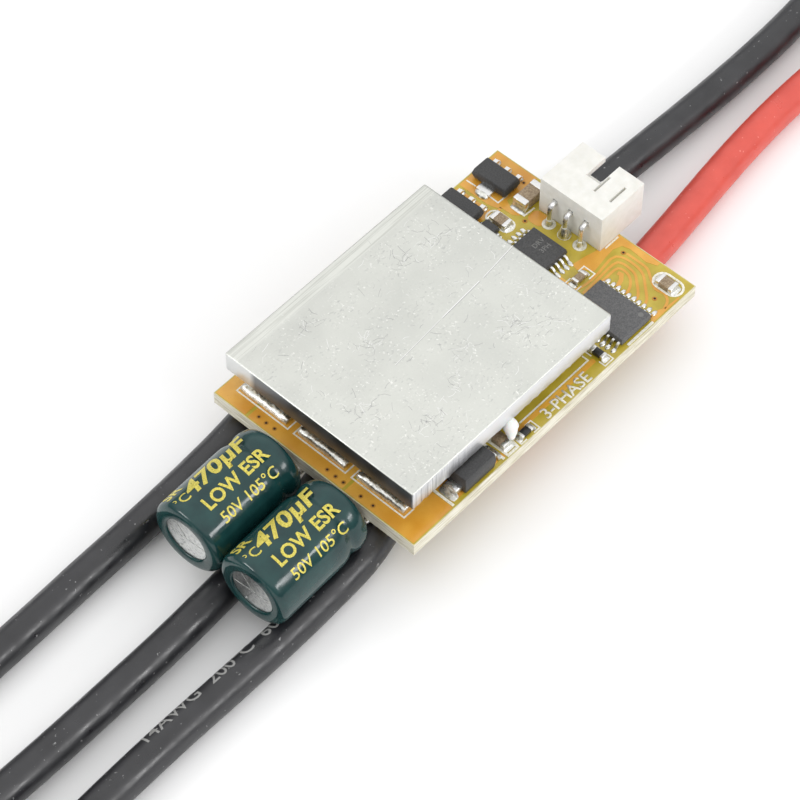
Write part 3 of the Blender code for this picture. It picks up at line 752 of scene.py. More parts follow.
def add_lettering(shape, body, height, matrix, thickness, weight=0.03):
    """Raised lettering on the matrix's own level face."""
    flat = lettering(body, height, weight)
    made = bmesh.ops.extrude_face_region(flat, geom=flat.faces[:])
    top = [item for item in made["geom"] if isinstance(item, bmesh.types.BMVert)]
    bmesh.ops.translate(flat, vec=(0, 0, thickness), verts=top)
    append(shape, flat, matrix)


def append(shape, other, matrix=Matrix()):
    """Copies another bmesh into a shape and frees it."""
    mesh = bpy.data.meshes.new("moved")
    other.to_mesh(mesh)
    other.free()
    mesh.transform(matrix)
    shape.from_mesh(mesh)
    bpy.data.meshes.remove(mesh)


def cut(piece, tools):
    """Cuts the tool objects out of a piece and removes them."""
    for tool in tools:
        step = piece.modifiers.new("cut", "BOOLEAN")
        step.operation = "DIFFERENCE"
        step.solver = "EXACT"
        step.object = tool
    bake(piece)
    for tool in tools:
        bpy.data.objects.remove(tool, do_unlink=True)


def bake(piece):
    graph = bpy.context.evaluated_depsgraph_get()
    mesh = bpy.data.meshes.new_from_object(piece.evaluated_get(graph))
    piece.modifiers.clear()
    piece.data = mesh


def soften(piece, width, segments):
    """Rounds the sharp edges that are left after cuts."""
    bevel = piece.modifiers.new("soften", "BEVEL")
    bevel.width = width * MM
    bevel.segments = segments
    bevel.limit_method = "ANGLE"
    bevel.angle_limit = math.radians(40)
    bake(piece)
    piece.data.shade_smooth()
    piece.data.set_sharp_from_angle(angle=math.radians(35))


# ---- circuit board ---------------------------------------------------------------------------------------
def dress_board():
    """The CAD board keeps its shape. Its mask, copper, holes and print are thin layers on both faces."""
    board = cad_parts["circuit_board"]
    board.data.materials.clear()
    board.data.materials.append(laminate_material())
    rim = 0.08
    half_x, half_y = BOARD_LENGTH / 2 - rim, BOARD_WIDTH / 2 - rim
    mask, copper, print_look = mask_material(), copper_material(), silkscreen_material()
    for side, low, high in (("top", BOARD_TOP - 0.01, MASK_TOP), ("bottom", -0.02, 0.01)):
        shape = bmesh.new()
        add_prism(shape, rounded(-half_x, -half_y, half_x, half_y, 0.08), low, high)
        keep(new_object(f"solder_mask_{side}", shape, mask), "board")
    keep(new_object("copper_top", top_copper(), copper), "board")
    keep(new_object("copper_bottom", bottom_copper(), copper), "board")
    keep(new_object("silkscreen_top", top_print(), print_look), "board")
    keep(new_object("silkscreen_bottom", bottom_print(), print_look), "board")
    make_vias()


def top_copper():
    """Pours and traces on the top face."""
    shape = bmesh.new()
    low, high = MASK_TOP - 0.005, COPPER_TOP
    phase_end, phase_start = -20.25, -16.0
    pours = [
        rounded(phase_end, 8.85, phase_start, 12.7, 0.08),
        rounded(phase_end, -3.65, phase_start, 8.5, 0.08),
        rounded(phase_end, -12.65, -14.85, -4.0, 0.08),
        rounded(-5.0, -11.62, 6.9, -11.1, 0.15),
        rounded(-14.4, -12.35, -8.1, -10.0, 0.2),
        rounded(9.2, 7.9, 14.0, 12.55, 0.3),
        rounded(15.6, 3.1, 17.25, 4.95, 0.6),
        rounded(9.3, -4.0, 12.4, -1.95, 0.3),
        rounded(-7.7, -12.5, -7.2, -11.9, 0.1),
        [(14.4, 8.9), (14.6, 8.1), (15.0, 7.4), (15.05, 6.2), (15.45, 5.6), (15.95, 5.9), (15.7, 7.0),
         (16.1, 7.8), (17.6, 7.6), (20.25, 7.4), (20.25, 12.65), (14.4, 12.65)],
        [(14.3, -2.25), (16.0, -2.55), (17.3, -2.9), (20.25, -2.9), (20.25, -8.5), (19.8, -8.5), (19.4, -7.4),
         (19.6, -5.2), (19.35, -4.35), (18.4, -4.0), (17.2, -4.1), (15.1, -4.4), (14.6, -3.6), (14.1, -3.0)],
        [(14.0, -12.65), (14.5, -11.9), (15.7, -12.05), (16.3, -12.35), (18.2, -12.5), (18.2, -12.65)],
    ]
    for outline in pours:
        add_prism(shape, outline, low, high)
    traces = [
        [(9.3, -3.6), (12.4, -4.6), (13.4, -4.85), (14.95, -4.85), (17.4, -4.6), (18.15, -5.05), (18.4, -6.0),
         (18.35, -7.2), (18.0, -8.2), (17.2, -9.1), (15.9, -10.4), (15.1, -10.7)],
        [(12.3, -5.35), (14.3, -5.3), (17.0, -5.2), (17.65, -5.6), (17.75, -6.4), (17.55, -7.5), (16.9, -8.3),
         (15.8, -9.4), (15.1, -9.65)],
        [(13.1, -5.75), (15.1, -5.75), (16.6, -5.75), (17.1, -6.1), (17.1, -6.9), (16.75, -7.6), (16.0, -8.2),
         (15.1, -8.5)],
        [(18.95, -5.3), (18.95, -6.7), (18.85, -8.0), (18.1, -9.1), (17.45, -10.2), (17.6, -11.2),
         (17.1, -12.0), (16.2, -12.35)],
        [(9.3, 5.6), (10.6, 5.6), (11.0, 5.2), (12.2, 5.2)],
        [(9.3, 4.1), (10.6, 4.1), (11.2, 3.8)],
        [(14.2, 7.6), (15.0, 7.6)],
    ]
    for route in traces:
        flat = [Vector((x, y, 0)) for x, y in route]
        add_strip(shape, [(point.x, point.y) for point in smooth_route(flat, 0.35)], 0.28, low, high)
    add_strip(shape, [(16.5, -6.2), (16.6, -6.6), (16.1, -7.0), (15.2, -7.3)], 0.45, low, high)
    return shape


def bottom_copper():
    """Pours on the underside, under the leads' solder joints."""
    shape = bmesh.new()
    low, high = -0.045, -0.015
    for name, route in LEAD_ROUTES.items():
        x, y, _ = route[0]
        pad_x = x - math.copysign(4.4, x)
        add_prism(shape, rounded(pad_x - 5.6, y - 3.1, pad_x + 5.2, y + 3.1, 0.5) if "battery" in name
                  else rounded(pad_x - 9.6, y - 2.6, pad_x + 4.4, y + 2.0, 0.5), low, high)
    add_prism(shape, rounded(-5.6, -12.3, 3.6, 12.3, 0.5), low, high)
    return shape


def add_outline_marks(shape, x, y, length, width, turn, low, high):
    """Two facing brackets round a small component."""
    matrix = at(x, y, 0, turn)
    for side in (-1, 1):
        corners = [(side * length * 0.2, width / 2), (side * length / 2, width / 2),
                   (side * length / 2, -width / 2), (side * length * 0.2, -width / 2)]
        add_strip(shape, [(matrix @ Vector((cx, cy, 0))).xy for cx, cy in corners], 0.14, low, high)


def top_print():
    """White print on the top face: outlines, bars and one plain legend."""
    shape = bmesh.new()
    low, high = MASK_TOP, PRINT_TOP
    line, bar = 0.16, 0.28
    for step in (1, 0, -1):
        y = TRANSISTOR_MIDDLE_Y - 0.2 + step * TRANSISTOR_PITCH * 0.99
        add_strip(shape, [(-17.4, y + 3.35), (-18.75, y + 3.35), (-18.75, y - 3.3), (-17.4, y - 3.3)], line,
                  low, high)
    strips = (
        (bar, [(-14.65, -10.1), (-14.65, -12.6)]),
        (bar, [(-7.6, -10.1), (-7.55, -12.6)]),
        (bar, [(-7.05, -10.1), (-7.0, -12.6), (-5.65, -12.6), (-5.5, -11.8)]),
        (line, [(-3.5, -10.95), (6.45, -10.95), (6.45, -10.2)]),
        (0.18, [(15.75, 5.65), (15.75, 5.25), (17.2, 5.15)]),
        (0.18, [(18.0, -3.35), (20.0, -3.35)]),
        (line, [(15.3, 12.5), (15.35, 11.3)]),
        (line, [(15.3, 9.6), (15.25, 8.25), (16.6, 8.2)]),
        (bar, [(10.4, -12.6), (14.2, -12.6)]),
    )
    for width, route in strips:
        add_strip(shape, route, width, low, high)
    add_strip(shape, rounded(12.8, 4.95, 14.45, 8.1, 0.75), 0.2, low, high, closed=True)
    add_strip(shape, rounded(17.75, -12.4, 19.7, -9.15, 0.95), 0.24, low, high, closed=True)
    add_outline_marks(shape, 13.45, -3.95, 2.9, 1.4, 0, low, high)
    add_outline_marks(shape, -3.9, -12.1, 2.6, 1.15, 0, low, high)
    add_outline_marks(shape, 7.65, -11.35, 2.5, 1.2, 90, low, high)
    add_lettering(shape, "3-PHASE", 1.25, at(1.9, -12.1, low, 0), high - low, 0.02)
    return shape


def bottom_print():
    shape = bmesh.new()
    flip = Matrix.Rotation(math.pi, 4, "X")
    for text, x, y, size in (("A", -8.0, 10.3, 1.6), ("B", -8.0, 0.7, 1.6), ("C", -8.0, -7.0, 1.6),
                             ("-", 4.6, 8.6, 2.0), ("+", 4.6, -9.6, 2.0), ("3-PHASE", -1.0, 3.6, 1.5)):
        add_lettering(shape, text, size, Matrix.Translation((x, y, -0.045)) @ flip, 0.02, 0.02)
    for step in range(3):
        outline = rounded(15.5, PIN_ROWS[step] - 0.95, 17.4, PIN_ROWS[step] + 0.95, 0.3)
        add_strip(shape, outline, 0.15, -0.065, -0.04, closed=True)
    return shape


def make_vias():
    """Small plated holes: a ring under the mask and a dark middle on each face."""
    places = [(18.8, -5.0), (16.5, -10.9), (15.3, 4.75), (18.9, 8.05), (-19.55, 7.7), (-19.6, 6.7),
              (-19.55, 5.65), (-19.6, -1.2), (-19.65, -2.3), (-19.65, -3.3), (-19.7, -5.55), (-19.7, -7.1),
              (-13.7, -8.6), (7.9, 3.1), (8.3, -6.0), (-5.2, 5.1), (-5.2, -4.9), (1.9, 0.2)]
    rings, holes = bmesh.new(), bmesh.new()
    for x, y in places:
        for level, way in ((COPPER_TOP - 0.02, 1), (-0.03, -1)):
            matrix = Matrix.Translation((x, y, level)) @ Matrix.Diagonal((1, 1, way, 1))
            add_turned(rings, [(0.13, 0.0), (0.13, 0.03), (0.19, 0.04), (0.25, 0.028), (0.27, 0.0)], 16,
                       matrix, True)
            add_turned(holes, [(0.0, 0.0), (0.14, 0.0), (0.14, 0.028), (0.0, 0.028)], 16, matrix)
    keep(new_object("via_rings", rings, bare_copper_material(), 40), "board")
    keep(new_object("via_holes", holes, hole_material()), "board")


# ---- heat sink, adhesive and power transistors -----------------------------------------------------------
def make_heat_sink():
    """The plate has a burr along one lower edge, thin scratches in clusters and one long score."""
    length, width, height = HEAT_SINK_SIZE
    x, y = HEAT_SINK_CENTRE
    bottom = HEAT_SINK_TOP - height
    shape = bmesh.new()
    add_block(shape, HEAT_SINK_SIZE, (x, y, HEAT_SINK_TOP - height / 2), 0.2, 3)
    for step in range(1, 90):
        everything = shape.verts[:] + shape.edges[:] + shape.faces[:]
        bmesh.ops.bisect_plane(shape, geom=everything, plane_co=(x + (step / 90 - 0.5) * length, 0, 0),
                               plane_no=(1, 0, 0))
    for vertex in shape.verts:
        if vertex.co.y < y - width / 2 + 0.25 and vertex.co.z < bottom + 0.3:
            vertex.co.z += 0.22 * noise.noise(Vector((vertex.co.x * 1.7, 3.0, 0))) + 0.04
    keep(new_object("heat_sink_plate", shape, heat_sink_material(), 50), "aluminium", "heat_sink")
    rng = random.Random(4)
    light, dark = bmesh.new(), bmesh.new()
    level = HEAT_SINK_TOP - 0.01
    score = (((9.1, 1.1), (4.2, 0.62), 0.07), ((3.7, 0.62), (-2.0, 0.3), 0.09),
             ((-2.3, 0.28), (-9.1, -0.18), 0.05))
    for start, end, thick in score:
        add_strip(light, [start, end], thick, level, level + 0.016)
        add_strip(dark, [(start[0], start[1] - thick), (end[0], end[1] - thick)], thick * 0.6, level,
                  level + 0.014)
    middles = [(x + rng.uniform(-0.42, 0.42) * length, y + rng.uniform(-0.42, 0.42) * width)
               for _ in range(13)]
    for shape, count in ((light, 150), (dark, 230)):
        for number in range(count):
            if number % 3:
                start = Vector(rng.choice(middles)) + Vector((rng.gauss(0, 0.8), rng.gauss(0, 0.6)))
            else:
                start = Vector((x + rng.uniform(-0.46, 0.46) * length, y + rng.uniform(-0.46, 0.46) * width))
            heading = math.radians(rng.choice((0, 90, 45, -45)) + rng.gauss(0, 20))
            reach = rng.uniform(0.2, 1.2)
            bend = rng.uniform(-0.2, 0.2) * reach
            way = Vector((math.cos(heading), math.sin(heading)))
            middle = start + way * reach * 0.5 + Vector((-way.y, way.x)) * bend
            end = start + way * reach
            inside = all(abs(point.x - x) < length * 0.48 and abs(point.y - y) < width * 0.48
                         for point in (start, middle, end))
            if inside:
                add_strip(shape, [start, middle, end], rng.uniform(0.014, 0.04), level, level + 0.014)
    keep(new_object("heat_sink_bright_scratches", light, scratch_material("bright_scratch", 0.9)),
         "aluminium")
    keep(new_object("heat_sink_dull_scratches", dark, scratch_material("dull_scratch", 0.42)), "aluminium")


def make_adhesive():
    """The bed over the transistors with an uneven edge, and one soft lump squeezed out at the front."""
    shape = bmesh.new()
    outline = [Vector(corner) for corner in rounded(-16.2, -10.9, 0.6, 11.5, 0.8, 6)]
    edge = []
    for start, end in zip(outline, outline[1:] + outline[:1]):
        steps = max(1, round((end - start).length / 0.5))
        for step in range(steps):
            point = start.lerp(end, step / steps)
            shift = 0.22 * noise.noise(Vector((point.x * 0.9, point.y * 0.9, 0.0)))
            inward = (Vector((-7.8, 0.3)) - point).normalized()
            edge.append(point + inward * (0.25 + shift))
    add_prism(shape, edge, ADHESIVE_Z - 0.05, ADHESIVE_Z + 0.05)
    look = adhesive_material()
    keep(new_object("silicone_adhesive_bed", shape, look, 60), "adhesive", "thermal_adhesive")
    lump = bmesh.new()
    balls = ((-5.35, -11.3, 3.55, 0.78), (-5.5, -11.6, 3.1, 0.62), (-5.2, -10.9, 3.8, 0.6),
             (-5.75, -11.85, 2.75, 0.42), (-4.95, -11.5, 3.3, 0.45))
    for ball_x, ball_y, ball_z, radius in balls:
        matrix = Matrix.Translation((ball_x, ball_y, ball_z))
        bmesh.ops.create_icosphere(lump, subdivisions=3, radius=radius, matrix=matrix)
    piece = new_object("silicone_adhesive_lump", lump, look)
    remesh = piece.modifiers.new("join", "REMESH")
    remesh.mode = "VOXEL"
    remesh.voxel_size = 0.09 * MM
    remesh.use_smooth_shade = True
    relax = piece.modifiers.new("relax", "SMOOTH")
    relax.iterations = 6
    bake(piece)
    keep(piece, "adhesive", "thermal_adhesive")


def bent_lead(reach, height, thickness):
    """Side view of a gull-wing lead with rounded bends, from inside the package to its foot, as (out, up)."""
    knee = reach * 0.42
    top, foot = height + thickness / 2, thickness
    upper = [(-0.2, top), (knee * 0.45, top), (knee * 0.75, top - thickness * 0.35),
             (knee + thickness * 0.8, foot + thickness * 0.9), (knee + thickness * 1.4, foot), (reach, foot)]
    lower = [(reach, 0.0), (knee + thickness * 0.7, 0.0), (knee * 0.95, thickness * 0.45),
             (knee * 0.45, top - thickness * 1.3), (knee * 0.2, top - thickness), (-0.2, top - thickness)]
    return upper + lower


def add_lead(shape, reach, height, thickness, width, matrix):
    """One gull-wing lead that leaves the matrix's origin along its X."""
    outline = bent_lead(reach, height, thickness)
    rings = [[shape.verts.new(matrix @ Vector((out, side * width / 2, up))) for out, up in outline]
             for side in (-1, 1)]
    close_rings(shape, rings)


def add_foot_solder(shape, matrix, length, width, height):
    """A fillet of solder round a lead's foot, on its pad."""
    centre = matrix @ Vector((0, 0, 0))
    flat = matrix.to_3x3() @ Vector((1, 0, 0))
    radii = (length, width, height) if abs(flat.x) > 0.5 else (width, length, height)
    add_dome(shape, centre, radii, 12, 0.25)


def add_fillet(shape, height, reach, width, matrix):
    """Solder that slopes from a part's end face down to its pad, along the matrix's X."""
    profile = [(-0.06, 0.9), (0.02, 0.85), (0.12, 0.5), (0.32, 0.24), (0.7, 0.1), (1.0, 0.04), (1.0, 0.0),
               (-0.06, 0.0)]
    rings = []
    for share, rise in ((-1.0, 0.35), (-0.82, 0.85), (-0.4, 1.0), (0.4, 1.0), (0.82, 0.85), (1.0, 0.35)):
        spread = 1 - 0.25 * share ** 4
        rings.append([shape.verts.new(matrix @ Vector((out * reach * spread, share * width / 2,
                                                       up * height * rise)))
                      for out, up in profile])
    close_rings(shape, rings)


def keep_component(node, body, metal, joint, look, slot="chip", metal_name="metal"):
    """A component is three pieces: its body, its metal and the solder that joins it to the board."""
    keep(new_object(f"{node}_body", body, look, 40), slot, node)
    keep(new_object(f"{node}_{metal_name}", metal, tin_material(), 40), "solder", node)
    keep(new_object(f"{node}_solder", joint, solder_material(), 60), "solder")


def make_transistors():
    length, width, height = TRANSISTOR_SIZE
    number = 0
    for row_x in TRANSISTOR_ROWS:
        for step in (1, 0, -1):
            number += 1
            y = TRANSISTOR_MIDDLE_Y + step * TRANSISTOR_PITCH
            place = at(row_x, y, ON_BOARD)
            body, metal, joint = bmesh.new(), bmesh.new(), bmesh.new()
            add_moulded(body, (length, width, height), (0, 0, height / 2), 0.12, 0.1, place)
            add_block(metal, (TAB_LENGTH + 1.0, 5.4, 0.5), ((1.0 - length - TAB_LENGTH) / 2, 0, 0.25), 0.08,
                      2, place)
            add_block(metal, (0.6, 1.0, 0.5), (length / 2 + 0.2, 0, 0.9), 0.08, 2, place)
            for offset in (-2.29, 2.29):
                foot = place @ at(length / 2, offset, 0)
                add_lead(metal, 2.6, 0.92, 0.5, 0.8, foot)
                add_foot_solder(joint, foot @ Matrix.Translation((2.2, 0, 0.0)), 0.85, 0.62, 0.42)
            keep_component(f"power_transistor_{number}", body, metal, joint, black_epoxy_material())
    make_tab_solder()


def make_tab_solder():
    """The ridge of solder along the outer edge of each first-row tab, straight and slightly pitted."""
    inner, outer, height = -17.45, -18.52, 0.6
    middle, half = (inner + outer) / 2, (inner - outer) / 2
    for number, step in enumerate((1, 0, -1), 1):
        y = TRANSISTOR_MIDDLE_Y + step * TRANSISTOR_PITCH
        shape = bmesh.new()
        rings = []
        slices = 90
        for index in range(slices + 1):
            share = index / slices
            end = min(1.0, 14 * share, 14 * (1 - share)) ** 0.5 if 0 < index < slices else 0.15
            ring = []
            for turn in range(0, 181, 12):
                angle = math.radians(turn)
                place = Vector((middle - half * math.cos(angle), y - 0.1 + (share - 0.5) * 6.0,
                                ON_BOARD + height * math.sin(angle) ** 0.8 * (0.7 + 0.3 * end)))
                lump = noise.noise(Vector((place.x * 1.5, place.y * 1.1, number * 7.0)))
                pit = noise.noise(Vector((place.x * 4.5, place.y * 3.5, number * 3.0)))
                place.z += (0.10 * lump + 0.05 * pit) * math.sin(angle) - 0.12 * max(0.0, pit - 0.35)
                place.x = middle + (place.x - middle) * (0.9 + 0.1 * end) + 0.04 * lump
                ring.append(shape.verts.new(place))
            rings.append(ring)
        close_rings(shape, rings)
        keep(new_object(f"tab_solder_bead_{number}", shape, solder_material(), 70), "solder",
             f"tab_solder_{number}")


# ---- chips and small components --------------------------------------------------------------------------
def make_small_outline_chip(node, x, y, turn, length, leads_a_side, marks, shift, grey):
    """A moulded chip with gull-wing leads on both long sides, a dot by its first lead and a plain marking."""
    width, height, pitch = 4.4, 1.0, 0.65
    place = at(x, y, ON_BOARD, turn)
    body, metal, joint, marking = bmesh.new(), bmesh.new(), bmesh.new(), bmesh.new()
    add_moulded(body, (length, width, height - 0.1), (0, 0, height / 2 + 0.05), 0.09, 0.06, place)
    for number in range(leads_a_side):
        along = (number - (leads_a_side - 1) / 2) * pitch
        for side in (-1, 1):
            foot = place @ at(along, side * width / 2, 0, side * 90)
            add_lead(metal, 1.0, height / 2, 0.15, 0.25, foot)
            add_foot_solder(joint, foot @ Matrix.Translation((0.85, 0, -0.02)), 0.42, 0.24, 0.16)
    top = height + 0.001
    add_turned(marking, [(0.0, 0.0), (0.28, 0.0), (0.28, 0.01), (0.0, 0.01)], 24,
               place @ Matrix.Translation((-length / 2 + 0.75, -width / 2 + 0.75, top)))
    for line, text in enumerate(marks):
        add_lettering(marking, text, 0.55, place @ Matrix.Translation((shift, 0.45 - line * 0.9, top)), 0.006)
    keep_component(node, body, metal, joint, moulding_material(node + "_epoxy", grey), metal_name="leads")
    keep(new_object(node + "_marking", marking, marking_material()), "chip")


def make_regulators():
    for number, (x, y) in enumerate(((17.05, 10.15), (11.75, 10.25)), 1):
        place = at(x, y, ON_BOARD)
        body, metal, joint = bmesh.new(), bmesh.new(), bmesh.new()
        add_moulded(body, (2.5, 4.5, 1.46), (0, 0, 0.77), 0.22, 0.2, place)
        add_block(metal, (1.6, 1.7, 0.4), (-1.25, 0, 0.21), 0.07, 2, place)
        add_dome(joint, place @ Vector((-2.05, 0, 0)), (0.5, 0.95, 0.4), 24, 0.2)
        for offset in (-1.5, 0.0, 1.5):
            foot = place @ at(1.25, offset, 0)
            add_lead(metal, 0.9, 0.6, 0.35, 0.45, foot)
            add_foot_solder(joint, foot @ Matrix.Translation((0.72, 0, 0)), 0.4, 0.36, 0.3)
        keep_component(f"voltage_regulator_{number}", body, metal, joint, black_epoxy_material())


def make_diodes():
    rows = (("protection_diode", -10.9, -11.35, 0, (4.3, 2.6, 2.1), (1.0, 1.5), 0.85),
            ("signal_diode", 11.9, 6.5, 90, (1.8, 1.3, 0.85), (0.4, 0.55), 0.35))
    for node, x, y, turn, size, (tab_length, tab_width), rise in rows:
        place = at(x, y, ON_BOARD, turn)
        body, metal, joint = bmesh.new(), bmesh.new(), bmesh.new()
        length, _, height = size
        add_moulded(body, size, (0, 0, height / 2 + 0.03), 0.1, 0.09, place)
        for side in (-1, 1):
            centre = (side * (length / 2 + tab_length * 0.25), 0, rise / 2)
            add_block(metal, (tab_length, tab_width, rise), centre, rise * 0.2, 3, place)
            end = place @ at(side * (length / 2 + tab_length * 0.7), 0, 0, 0 if side > 0 else 180)
            add_fillet(joint, rise * 0.8, tab_length * 0.7, tab_width * 1.35, end)
        keep_component(node, body, metal, joint, black_epoxy_material())


def make_chip_components():
    """Small two-ended components: node, length, width, height, place on the board and turn."""
    rows = (("chip_capacitor_1", 2.0, 1.25, 0.65, 13.55, 6.4, 90),
            ("chip_capacitor_2", 3.2, 1.6, 1.3, 17.6, 6.2, 0),
            ("chip_capacitor_3", 2.0, 1.25, 0.65, 18.5, -10.75, 90),
            ("chip_capacitor_4", 1.6, 0.8, 0.55, 13.35, -3.95, 0),
            ("chip_capacitor_5", 2.0, 1.25, 0.65, -6.3, -10.95, 90),
            ("chip_resistor_1", 1.6, 0.8, 0.5, -4.05, -12.1, 0),
            ("chip_resistor_2", 1.6, 0.8, 0.5, 7.65, -11.2, 90))
    looks = {"capacitor": (ceramic_material(), "ceramic"), "resistor": (resistor_material(), "resistor")}
    for node, length, width, height, x, y, turn in rows:
        place = at(x, y, ON_BOARD, turn)
        body, metal, joint = bmesh.new(), bmesh.new(), bmesh.new()
        cap = length * 0.22
        add_block(body, (length - 2 * cap + 0.1, width - 0.06, height - 0.05), (0, 0, height / 2), 0.04, 2,
                  place)
        for side in (-1, 1):
            add_block(metal, (cap, width, height), (side * (length - cap) / 2, 0, height / 2), 0.07, 3, place)
            end = place @ at(side * length / 2, 0, 0, 0 if side > 0 else 180)
            add_fillet(joint, height * 0.75, 0.42, width + 0.1, end)
        look, slot = looks[node.split("_")[1]]
        keep_component(node, body, metal, joint, look, slot, "ends")


# ---- signal header ---------------------------------------------------------------------------------------
def make_header():
    """The shrouded header with its mouth, notch and slits, all with soft edges."""
    look = header_material()
    length, width, height = HEADER_SIZE
    middle = ON_BOARD + height / 2
    shape = bmesh.new()
    add_block(shape, HEADER_SIZE, (HEADER_NEAR_X + length / 2, HEADER_Y, middle))
    shroud = new_object("header_shell", shape, look)
    wall = 0.7
    depth = length - 1.3
    far = HEADER_NEAR_X + length
    cuts = [((depth + 1, width - 2 * wall, height - 2 * wall), (far - depth / 2 + 0.5, HEADER_Y, middle)),
            ((4.0, 1.75, height + 2), (far - 1.0, HEADER_Y + 0.1, middle))]
    for y in (HEADER_Y - 0.95, HEADER_Y - 2.95):
        cuts.append(((2.4, 0.3, 1.2), (HEADER_NEAR_X + 3.5, y, ON_BOARD + height)))
    for y in PIN_ROWS:
        cuts.append(((4, PIN_SIZE + 0.1, PIN_SIZE + 0.1), (HEADER_NEAR_X, y, PIN_LEVEL)))
    tools = []
    for size, centre in cuts:
        shape = bmesh.new()
        add_block(shape, size, centre)
        tools.append(new_object("header_cut", shape, look))
    cut(shroud, tools)
    soften(shroud, 0.14, 3)
    keep(shroud, "header", "header_shroud")


def make_pins():
    """Each pin runs from inside the shroud, bends down behind it and ends below the board."""
    tin, solder = tin_material(), solder_material()
    half = PIN_SIZE / 2 - 0.02
    tip = HEADER_NEAR_X + HEADER_SIZE[0] - 1.0
    bend = 0.5
    heavy = PIN_ROWS[1]
    pads = bmesh.new()
    for number, y in enumerate(PIN_ROWS, 1):
        route = [Vector((tip, y, PIN_LEVEL)), Vector((tip - 0.4, y, PIN_LEVEL)),
                 Vector((PIN_HOLE_X + bend + 0.1, y, PIN_LEVEL))]
        for angle in (20, 45, 70, 90):
            turn = math.radians(angle)
            route.append(Vector((PIN_HOLE_X + bend * (1 - math.sin(turn)), y,
                                 PIN_LEVEL - bend * (1 - math.cos(turn)))))
        route += [Vector((PIN_HOLE_X, y, level)) for level in (2.6, 1.7, 0.0, -0.45, -0.7)]
        last = len(route) - 1
        shape = bmesh.new()
        shares = {0: 0.5, last: 0.55}

        def section(index):
            reach = half * shares.get(index, 1.0)
            return rounded(-reach, -reach, reach, reach, 0.08, 2)
        add_sweep(shape, route, section)
        keep(new_object(f"pin_{number}", shape, tin, 40), "solder", f"header_pin_{number}")
        foot, tall = (0.66, 1.2) if y == heavy else (0.42, 0.75)
        profile = [(0.2, 0.05), (foot, 0.05), (foot * 0.96, tall * 0.25), (foot * 0.72, tall * 0.6),
                   (0.33, tall), (0.2, tall)]
        add_turned(pads, [(0.2, 0.0), (0.72, 0.0), (0.71, 0.05), (0.66, 0.07), (0.2, 0.07)], 32,
                   Matrix.Translation((PIN_HOLE_X, y, ON_BOARD - 0.02)), True)
        joint = bmesh.new()
        add_turned(joint, profile, 32, Matrix.Translation((PIN_HOLE_X, y, ON_BOARD)), True)
        for vertex in joint.verts:
            offset = Vector((vertex.co.x - PIN_HOLE_X, vertex.co.y - y, 0))
            vertex.co += offset * 0.16 * noise.noise(vertex.co * 1.8)
        keep(new_object(f"pin_joint_{number}", joint, solder, 70), "solder", f"pin_solder_{number}")
        under = bmesh.new()
        profile = [(0.2, 0.0), (0.75, 0.0), (0.68, -0.12), (0.42, -0.38), (0.32, -0.62), (0.2, -0.62)]
        add_turned(under, profile, 32, Matrix.Translation((PIN_HOLE_X, y, -0.02)), True)
        keep(new_object(f"pin_joint_under_{number}", under, solder, 70), "solder")
    keep(new_object("pin_pads", pads, flux_material(), 40), "solder")


# ---- electrolytic capacitors -----------------------------------------------------------------------------
def capacitor_frame(number):
    """The capacitor's own frame: Z along its axis from the board end, and X straight up."""
    turn = Matrix.Rotation(math.radians(CAPACITOR_SPLAY), 4, "Z")
    swing = Matrix.Rotation(math.radians(-90), 4, "Y")
    return Matrix.Translation((CAPACITOR_NEAR_X, CAPACITOR_ROWS[number], CAPACITOR_Z)) @ turn @ swing


def outer_profile():
    """The sleeve's outside from the board end to the vent end: the groove, the body and the rolled lip."""
    radius, length = CAPACITOR_RADIUS, CAPACITOR_LENGTH
    neck = [(2.95, -0.19), (3.3, -0.17), (3.62, -0.02), (3.8, 0.22), (3.9, 0.55), (3.95, 0.95), (3.94, 1.25),
            (3.87, 1.55), (3.76, 1.8), (3.7, 2.05), (3.74, 2.3), (3.86, 2.6), (3.97, 2.9), (4.03, 3.2),
            (radius, 3.7)]
    corner = 0.8
    lip = []
    for angle in range(0, 91, 15):
        turn = math.radians(angle)
        lip.append((radius - corner + corner * math.cos(turn),
                    length + 0.19 - corner + corner * math.sin(turn)))
    return neck + [(radius, 6.0), (radius, 8.5)] + lip + [(2.75, length + 0.17), (2.5, length + 0.1)]


def slice_up(flat, axis, spacing):
    """Cuts flat lettering into narrow strips, so that it can follow a curved surface."""
    bounds = [vertex.co[axis] for vertex in flat.verts]
    normal = Vector((0, 0, 0))
    normal[axis] = 1
    level = min(bounds) + spacing
    while level < max(bounds):
        everything = flat.verts[:] + flat.edges[:] + flat.faces[:]
        bmesh.ops.bisect_plane(flat, geom=everything, plane_co=normal * level, plane_no=normal)
        level += spacing


def wrap(flat, radius, matrix):
    """Bends flat lettering round the sleeve: its X runs along the capacitor and its Y round it."""
    slice_up(flat, 1, 0.2)
    for vertex in flat.verts:
        turn = vertex.co.y / radius
        vertex.co = matrix @ Vector((radius * math.cos(turn), radius * math.sin(turn), vertex.co.x))


def add_sleeve_text(shape, body, height, along, round_by, number, weight, lean):
    """along is from the board end; round_by is measured round the sleeve from straight up, towards +Y."""
    flat = lettering(body, height, weight)
    for vertex in flat.verts:
        x = vertex.co.x + lean * vertex.co.y
        vertex.co = Vector((along - x, vertex.co.y + round_by, 0))
    everything = flat.verts[:] + flat.edges[:] + flat.faces[:]
    bmesh.ops.bisect_plane(flat, geom=everything, plane_co=(CAPACITOR_LENGTH - 0.55, 0, 0),
                           plane_no=(1, 0, 0), clear_outer=True)
    if flat.verts:
        wrap(flat, CAPACITOR_RADIUS + 0.012, capacitor_frame(number))
    append(shape, flat)


